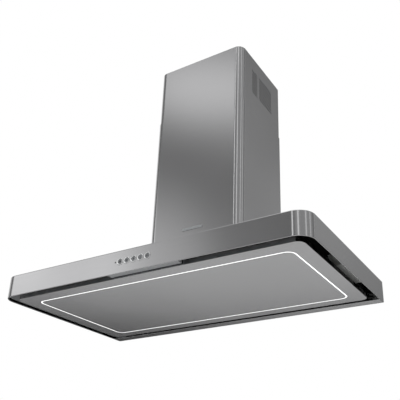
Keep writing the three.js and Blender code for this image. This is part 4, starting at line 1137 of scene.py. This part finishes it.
def motor_casing():
    """A capacitor motor: pressed end bells, a band of laminations between them, and cooling ribs."""
    low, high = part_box("motor")
    centre = Vector((0.0, (low.y + high.y) / 2, (low.z + high.z) / 2))
    radius, boss = high.z - centre.z, 12 * MM
    far, near = low.x, high.x
    back, front = far + 6 * MM, near - 3 * MM
    laminations = 26 * MM
    band = (front - back - laminations) / 2
    profile = [
        (SHAFT_BORE, far),
        (boss, far),
        (boss, back),
        (radius * 0.72, back + 1 * MM),
        (radius - 5 * MM, back + 5 * MM),
        (radius - 3 * MM, back + band),
        (radius - 0.5 * MM, back + band),
        (radius - 0.5 * MM, front - band),
        (radius - 3 * MM, front - band),
        (radius - 5 * MM, front - 5 * MM),
        (radius * 0.72, front - 1 * MM),
        (boss, front),
        (boss, near),
        (SHAFT_BORE, near),
    ]
    shape = bmesh.new()
    turned(shape, "X", centre, profile, 48, closed=True)
    casing = piece_from("motor_casing", shape, dark_enamel)
    settle(casing, 0.5)
    place_on(casing, "hood", "motor_casing", "motor")
    rib = bmesh.new()
    edge, half_rib = radius - 3.4 * MM, Vector((0.0, 0.7 * MM, 2 * MM))
    for start, end in ((back + 5 * MM, back + band), (front - band, front - 5 * MM)):
        add_box(rib, Vector((start, 0.0, edge)) - half_rib, Vector((end, 0.0, edge)) + half_rib)
    ribs = piece_from("motor_ribs", rib, dark_enamel)
    grow(ribs, round_axis, Count=RIB_COUNT, Centre=tuple(centre), Finish=dark_enamel)
    settle(ribs)
    place_on(ribs, "hood", "motor_casing")


STRIP_WIDTH = 8 * MM
STRIP_CORNER = 20 * MM
CHIP_STEP = 16.6 * MM
CHIP_LOW, CHIP_HIGH = (-1.75 * MM, -1.4 * MM, -0.6 * MM), (1.75 * MM, 1.4 * MM, 0.2 * MM)


def light_chips():
    """The row of light chips on the strip behind the diffuser."""
    low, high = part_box("led_strip")
    chip = bmesh.new()
    add_box(chip, CHIP_LOW, CHIP_HIGH)
    chips = piece_from("light_chips", chip, phosphor)
    centre = ((low.x + high.x) / 2, (low.y + high.y) / 2, low.z)
    grow(
        chips,
        line_tree(),
        Width=high.x - low.x - STRIP_WIDTH,
        Depth=high.y - low.y - STRIP_WIDTH,
        Corner=STRIP_CORNER,
        Step=CHIP_STEP,
        Centre=centre,
        Finish=phosphor,
    )
    place_on(chips, "suction_panel", "white_plastic")


def run_capacitor():
    """The motor's capacitor: a moulded can with a rolled shoulder and two blade terminals."""
    low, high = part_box("capacitor")
    middle = (low + high) / 2
    radius = high.x - middle.x
    top = high.z - 8 * MM
    profile = [
        (0.0, low.z),
        (radius - 1.5 * MM, low.z),
        (radius, low.z + 1.5 * MM),
        (radius, top - 2 * MM),
        (radius - 0.8 * MM, top - 0.5 * MM),
        (radius - 2 * MM, top),
        (radius - 2.4 * MM, top - 1 * MM),
        (0.0, top - 1 * MM),
    ]
    shape = bmesh.new()
    turned(shape, "Z", (middle.x, middle.y, 0.0), profile, 40)
    half_blade, half_width, apart = 0.4 * MM, 3 * MM, 10 * MM
    for side in (-1, 1):
        x = middle.x + side * apart / 2
        foot = (x - half_blade, middle.y - half_width, top - 2 * MM)
        for face in add_box(shape, foot, (x + half_blade, middle.y + half_width, high.z)):
            face.material_index = 1
    can = piece_from("run_capacitor", shape, white_abs, zinc_plate)
    settle(can)
    place_on(can, "hood", "white_plastic", "capacitor")


expanded_metal = expanded_metal_tree()
for side in ("left", "right"):
    filter_core(side)
for node_name in ("power_box", "led_driver"):
    ear_screws(node_name)
blower_screws()
impeller()
motor_casing()
light_chips()
run_capacitor()


# ---------------------------------------------------------------- floor, light and camera

FLOOR_Z = -1.65  # the floor of a kitchen, below a hood hung at its usual height
FLOOR_RADIUS = 5.0
FLOOR_GRAIN = 40.0  # millimetres
FLOOR_GLOW = 0.45  # what the floor lacks to look as white as the room

floor_shape = bmesh.new()
bmesh.ops.create_circle(floor_shape, cap_ends=True, segments=96, radius=FLOOR_RADIUS)
floor_shape.transform(Matrix.Translation((0.0, 0.0, FLOOR_Z)))
floor_paint = moulded_plastic("floor_pale_matt", "#EDEDED", "#F1F1F1", 0.9, FLOOR_GRAIN, 0.02)
floor = piece_from("floor", floor_shape, floor_paint)


def lift_floor(material):
    """Adds a white glow that only the camera sees, so that the floor meets the white room without an edge."""
    tree = material.node_tree
    output = next(n for n in tree.nodes if n.bl_idname == "ShaderNodeOutputMaterial")
    paint = output.inputs["Surface"].links[0].from_socket
    seen = node(tree, "ShaderNodeLightPath").outputs["Is Camera Ray"]
    glow = node(tree, "ShaderNodeEmission", {"Strength": calc(tree, "MULTIPLY", seen, FLOOR_GLOW)})
    both = node(tree, "ShaderNodeAddShader", {0: paint, 1: glow})
    tree.links.new(both.outputs[0], output.inputs["Surface"])


lift_floor(floor_paint)


def soft_box(tree, toward, width, height, softness, strength):
    """A soft light in the sky: brightest at its middle, fading out at the edge.
    toward is (azimuth, elevation) in degrees, azimuth 0 towards -Y and 90 towards +X."""
    turn, rise = (math.radians(a) for a in toward)
    axis = Vector((math.sin(turn) * math.cos(rise), -math.cos(turn) * math.cos(rise), math.sin(rise)))
    facing = axis.to_track_quat("Y", "Z").to_euler()
    direction = node(tree, "ShaderNodeTexCoord").outputs["Generated"]
    local = node(
        tree,
        "ShaderNodeMapping",
        {
            "Vector": direction,
            "Location": axis,
            "Rotation": facing,
            "Scale": (math.radians(width) / 2, 0.6, math.radians(height) / 2),
        },
        vector_type="TEXTURE",
    )
    away = node(tree, "ShaderNodeVectorMath", {0: local}, operation="LENGTH")
    fade = node(
        tree,
        "ShaderNodeMapRange",
        {
            "Value": away.outputs["Value"],
            "From Min": 1.0 - softness,
            "From Max": 1.0 + softness,
            "To Min": strength,
            "To Max": 0.0,
        },
        interpolation_type="SMOOTHSTEP",
    )
    return fade.outputs[0]


def studio_light():
    """A white room as the camera sees it. What the steel reflects is a dimmer room with soft lights in it."""
    world = bpy.data.worlds.new("studio")
    bpy.context.scene.world = world
    world.use_nodes = True
    tree = world.node_tree
    tree.nodes.clear()
    lights = [
        # toward, width, height, softness, strength
        ((-55, 20), 10, 16, 0.5, 0.95),  # the key bank, brightest at its far end
        ((-46, 20), 10, 16, 0.5, 0.95),
        ((-38, 20), 10, 16, 0.5, 0.55),
        ((-30, 20), 8, 16, 0.5, 0.1),
        ((-33, 38), 14, 5, 0.5, 0.95),  # a small box that catches the chimney's top
        ((-35, 37), 34, 7, 0.5, 0.2),
        ((-12, 26), 6, 60, 0.5, 1.4),  # strip lights, drawn out by the rounded corners
        ((24, 26), 7, 60, 0.5, 0.85),
        ((72, 26), 7, 60, 0.5, 0.6),
        ((102, 26), 6, 60, 0.5, 0.5),
        ((138, 26), 6, 60, 0.5, 0.5),
        ((62, 26), 140, 60, 0.2, 0.22),  # the right side of the room
        ((149, 26), 10, 30, 0.5, 0.2),
        ((158, 22), 7, 20, 0.5, 0.2),
        ((-150, 30), 60, 50, 0.5, 0.76),
        ((-100, 25), 30, 50, 0.5, 0.53),
        ((0, 80), 60, 60, 0.5, 1.4),  # overhead
        ((20, -20), 220, 30, 0.3, 0.22),  # the floor's far part, seen in the walls from above
    ]
    direction = node(tree, "ShaderNodeTexCoord").outputs["Generated"]
    height = node(tree, "ShaderNodeSeparateXYZ", {0: direction}).outputs["Z"]
    total = spread(tree, height, 0.03, 0.23, -0.1, 0.02).outputs[0]  # the room, darker below
    for light in lights:
        total = calc(tree, "ADD", soft_box(tree, *light), total)
    room = node(tree, "ShaderNodeBackground", {"Strength": total, "Color": linear("#FFFFFF")})
    white = node(tree, "ShaderNodeBackground", {"Strength": 1.0, "Color": linear("#FFFFFF")})
    seen = node(tree, "ShaderNodeLightPath").outputs["Is Camera Ray"]
    both = node(tree, "ShaderNodeMixShader", {0: seen, 1: room, 2: white})
    node(tree, "ShaderNodeOutputWorld", {"Surface": both})


studio_light()

CAMERA_PLACE = Vector((0.8817, -1.5477, -0.5557))
CAMERA_AZIMUTH, CAMERA_RISE, CAMERA_ROLL = (math.radians(a) for a in (31.022, -23.556, 1.242))

camera = bpy.data.cameras.new("camera")
camera.sensor_width = 36.0
camera.lens = 55.18
camera.shift_x = -0.0605
camera.shift_y = 0.1187
camera.clip_start, camera.clip_end = 0.05, 60.0
viewer = bpy.data.objects.new("camera", camera)
bpy.context.scene.collection.objects.link(viewer)
back = Vector(
    (
        math.sin(CAMERA_AZIMUTH) * math.cos(CAMERA_RISE),
        -math.cos(CAMERA_AZIMUTH) * math.cos(CAMERA_RISE),
        math.sin(CAMERA_RISE),
    )
)
right = (-back).cross(Vector((0, 0, 1))).normalized()
up = right.cross(-back)
rolled_right = math.cos(CAMERA_ROLL) * right + math.sin(CAMERA_ROLL) * up
rolled_up = -math.sin(CAMERA_ROLL) * right + math.cos(CAMERA_ROLL) * up
turn = Matrix((rolled_right, rolled_up, back)).transposed().to_4x4()
viewer.matrix_world = Matrix.Translation(CAMERA_PLACE) @ turn
bpy.context.scene.camera = viewer
bpy.context.scene.view_settings.view_transform = "Standard"
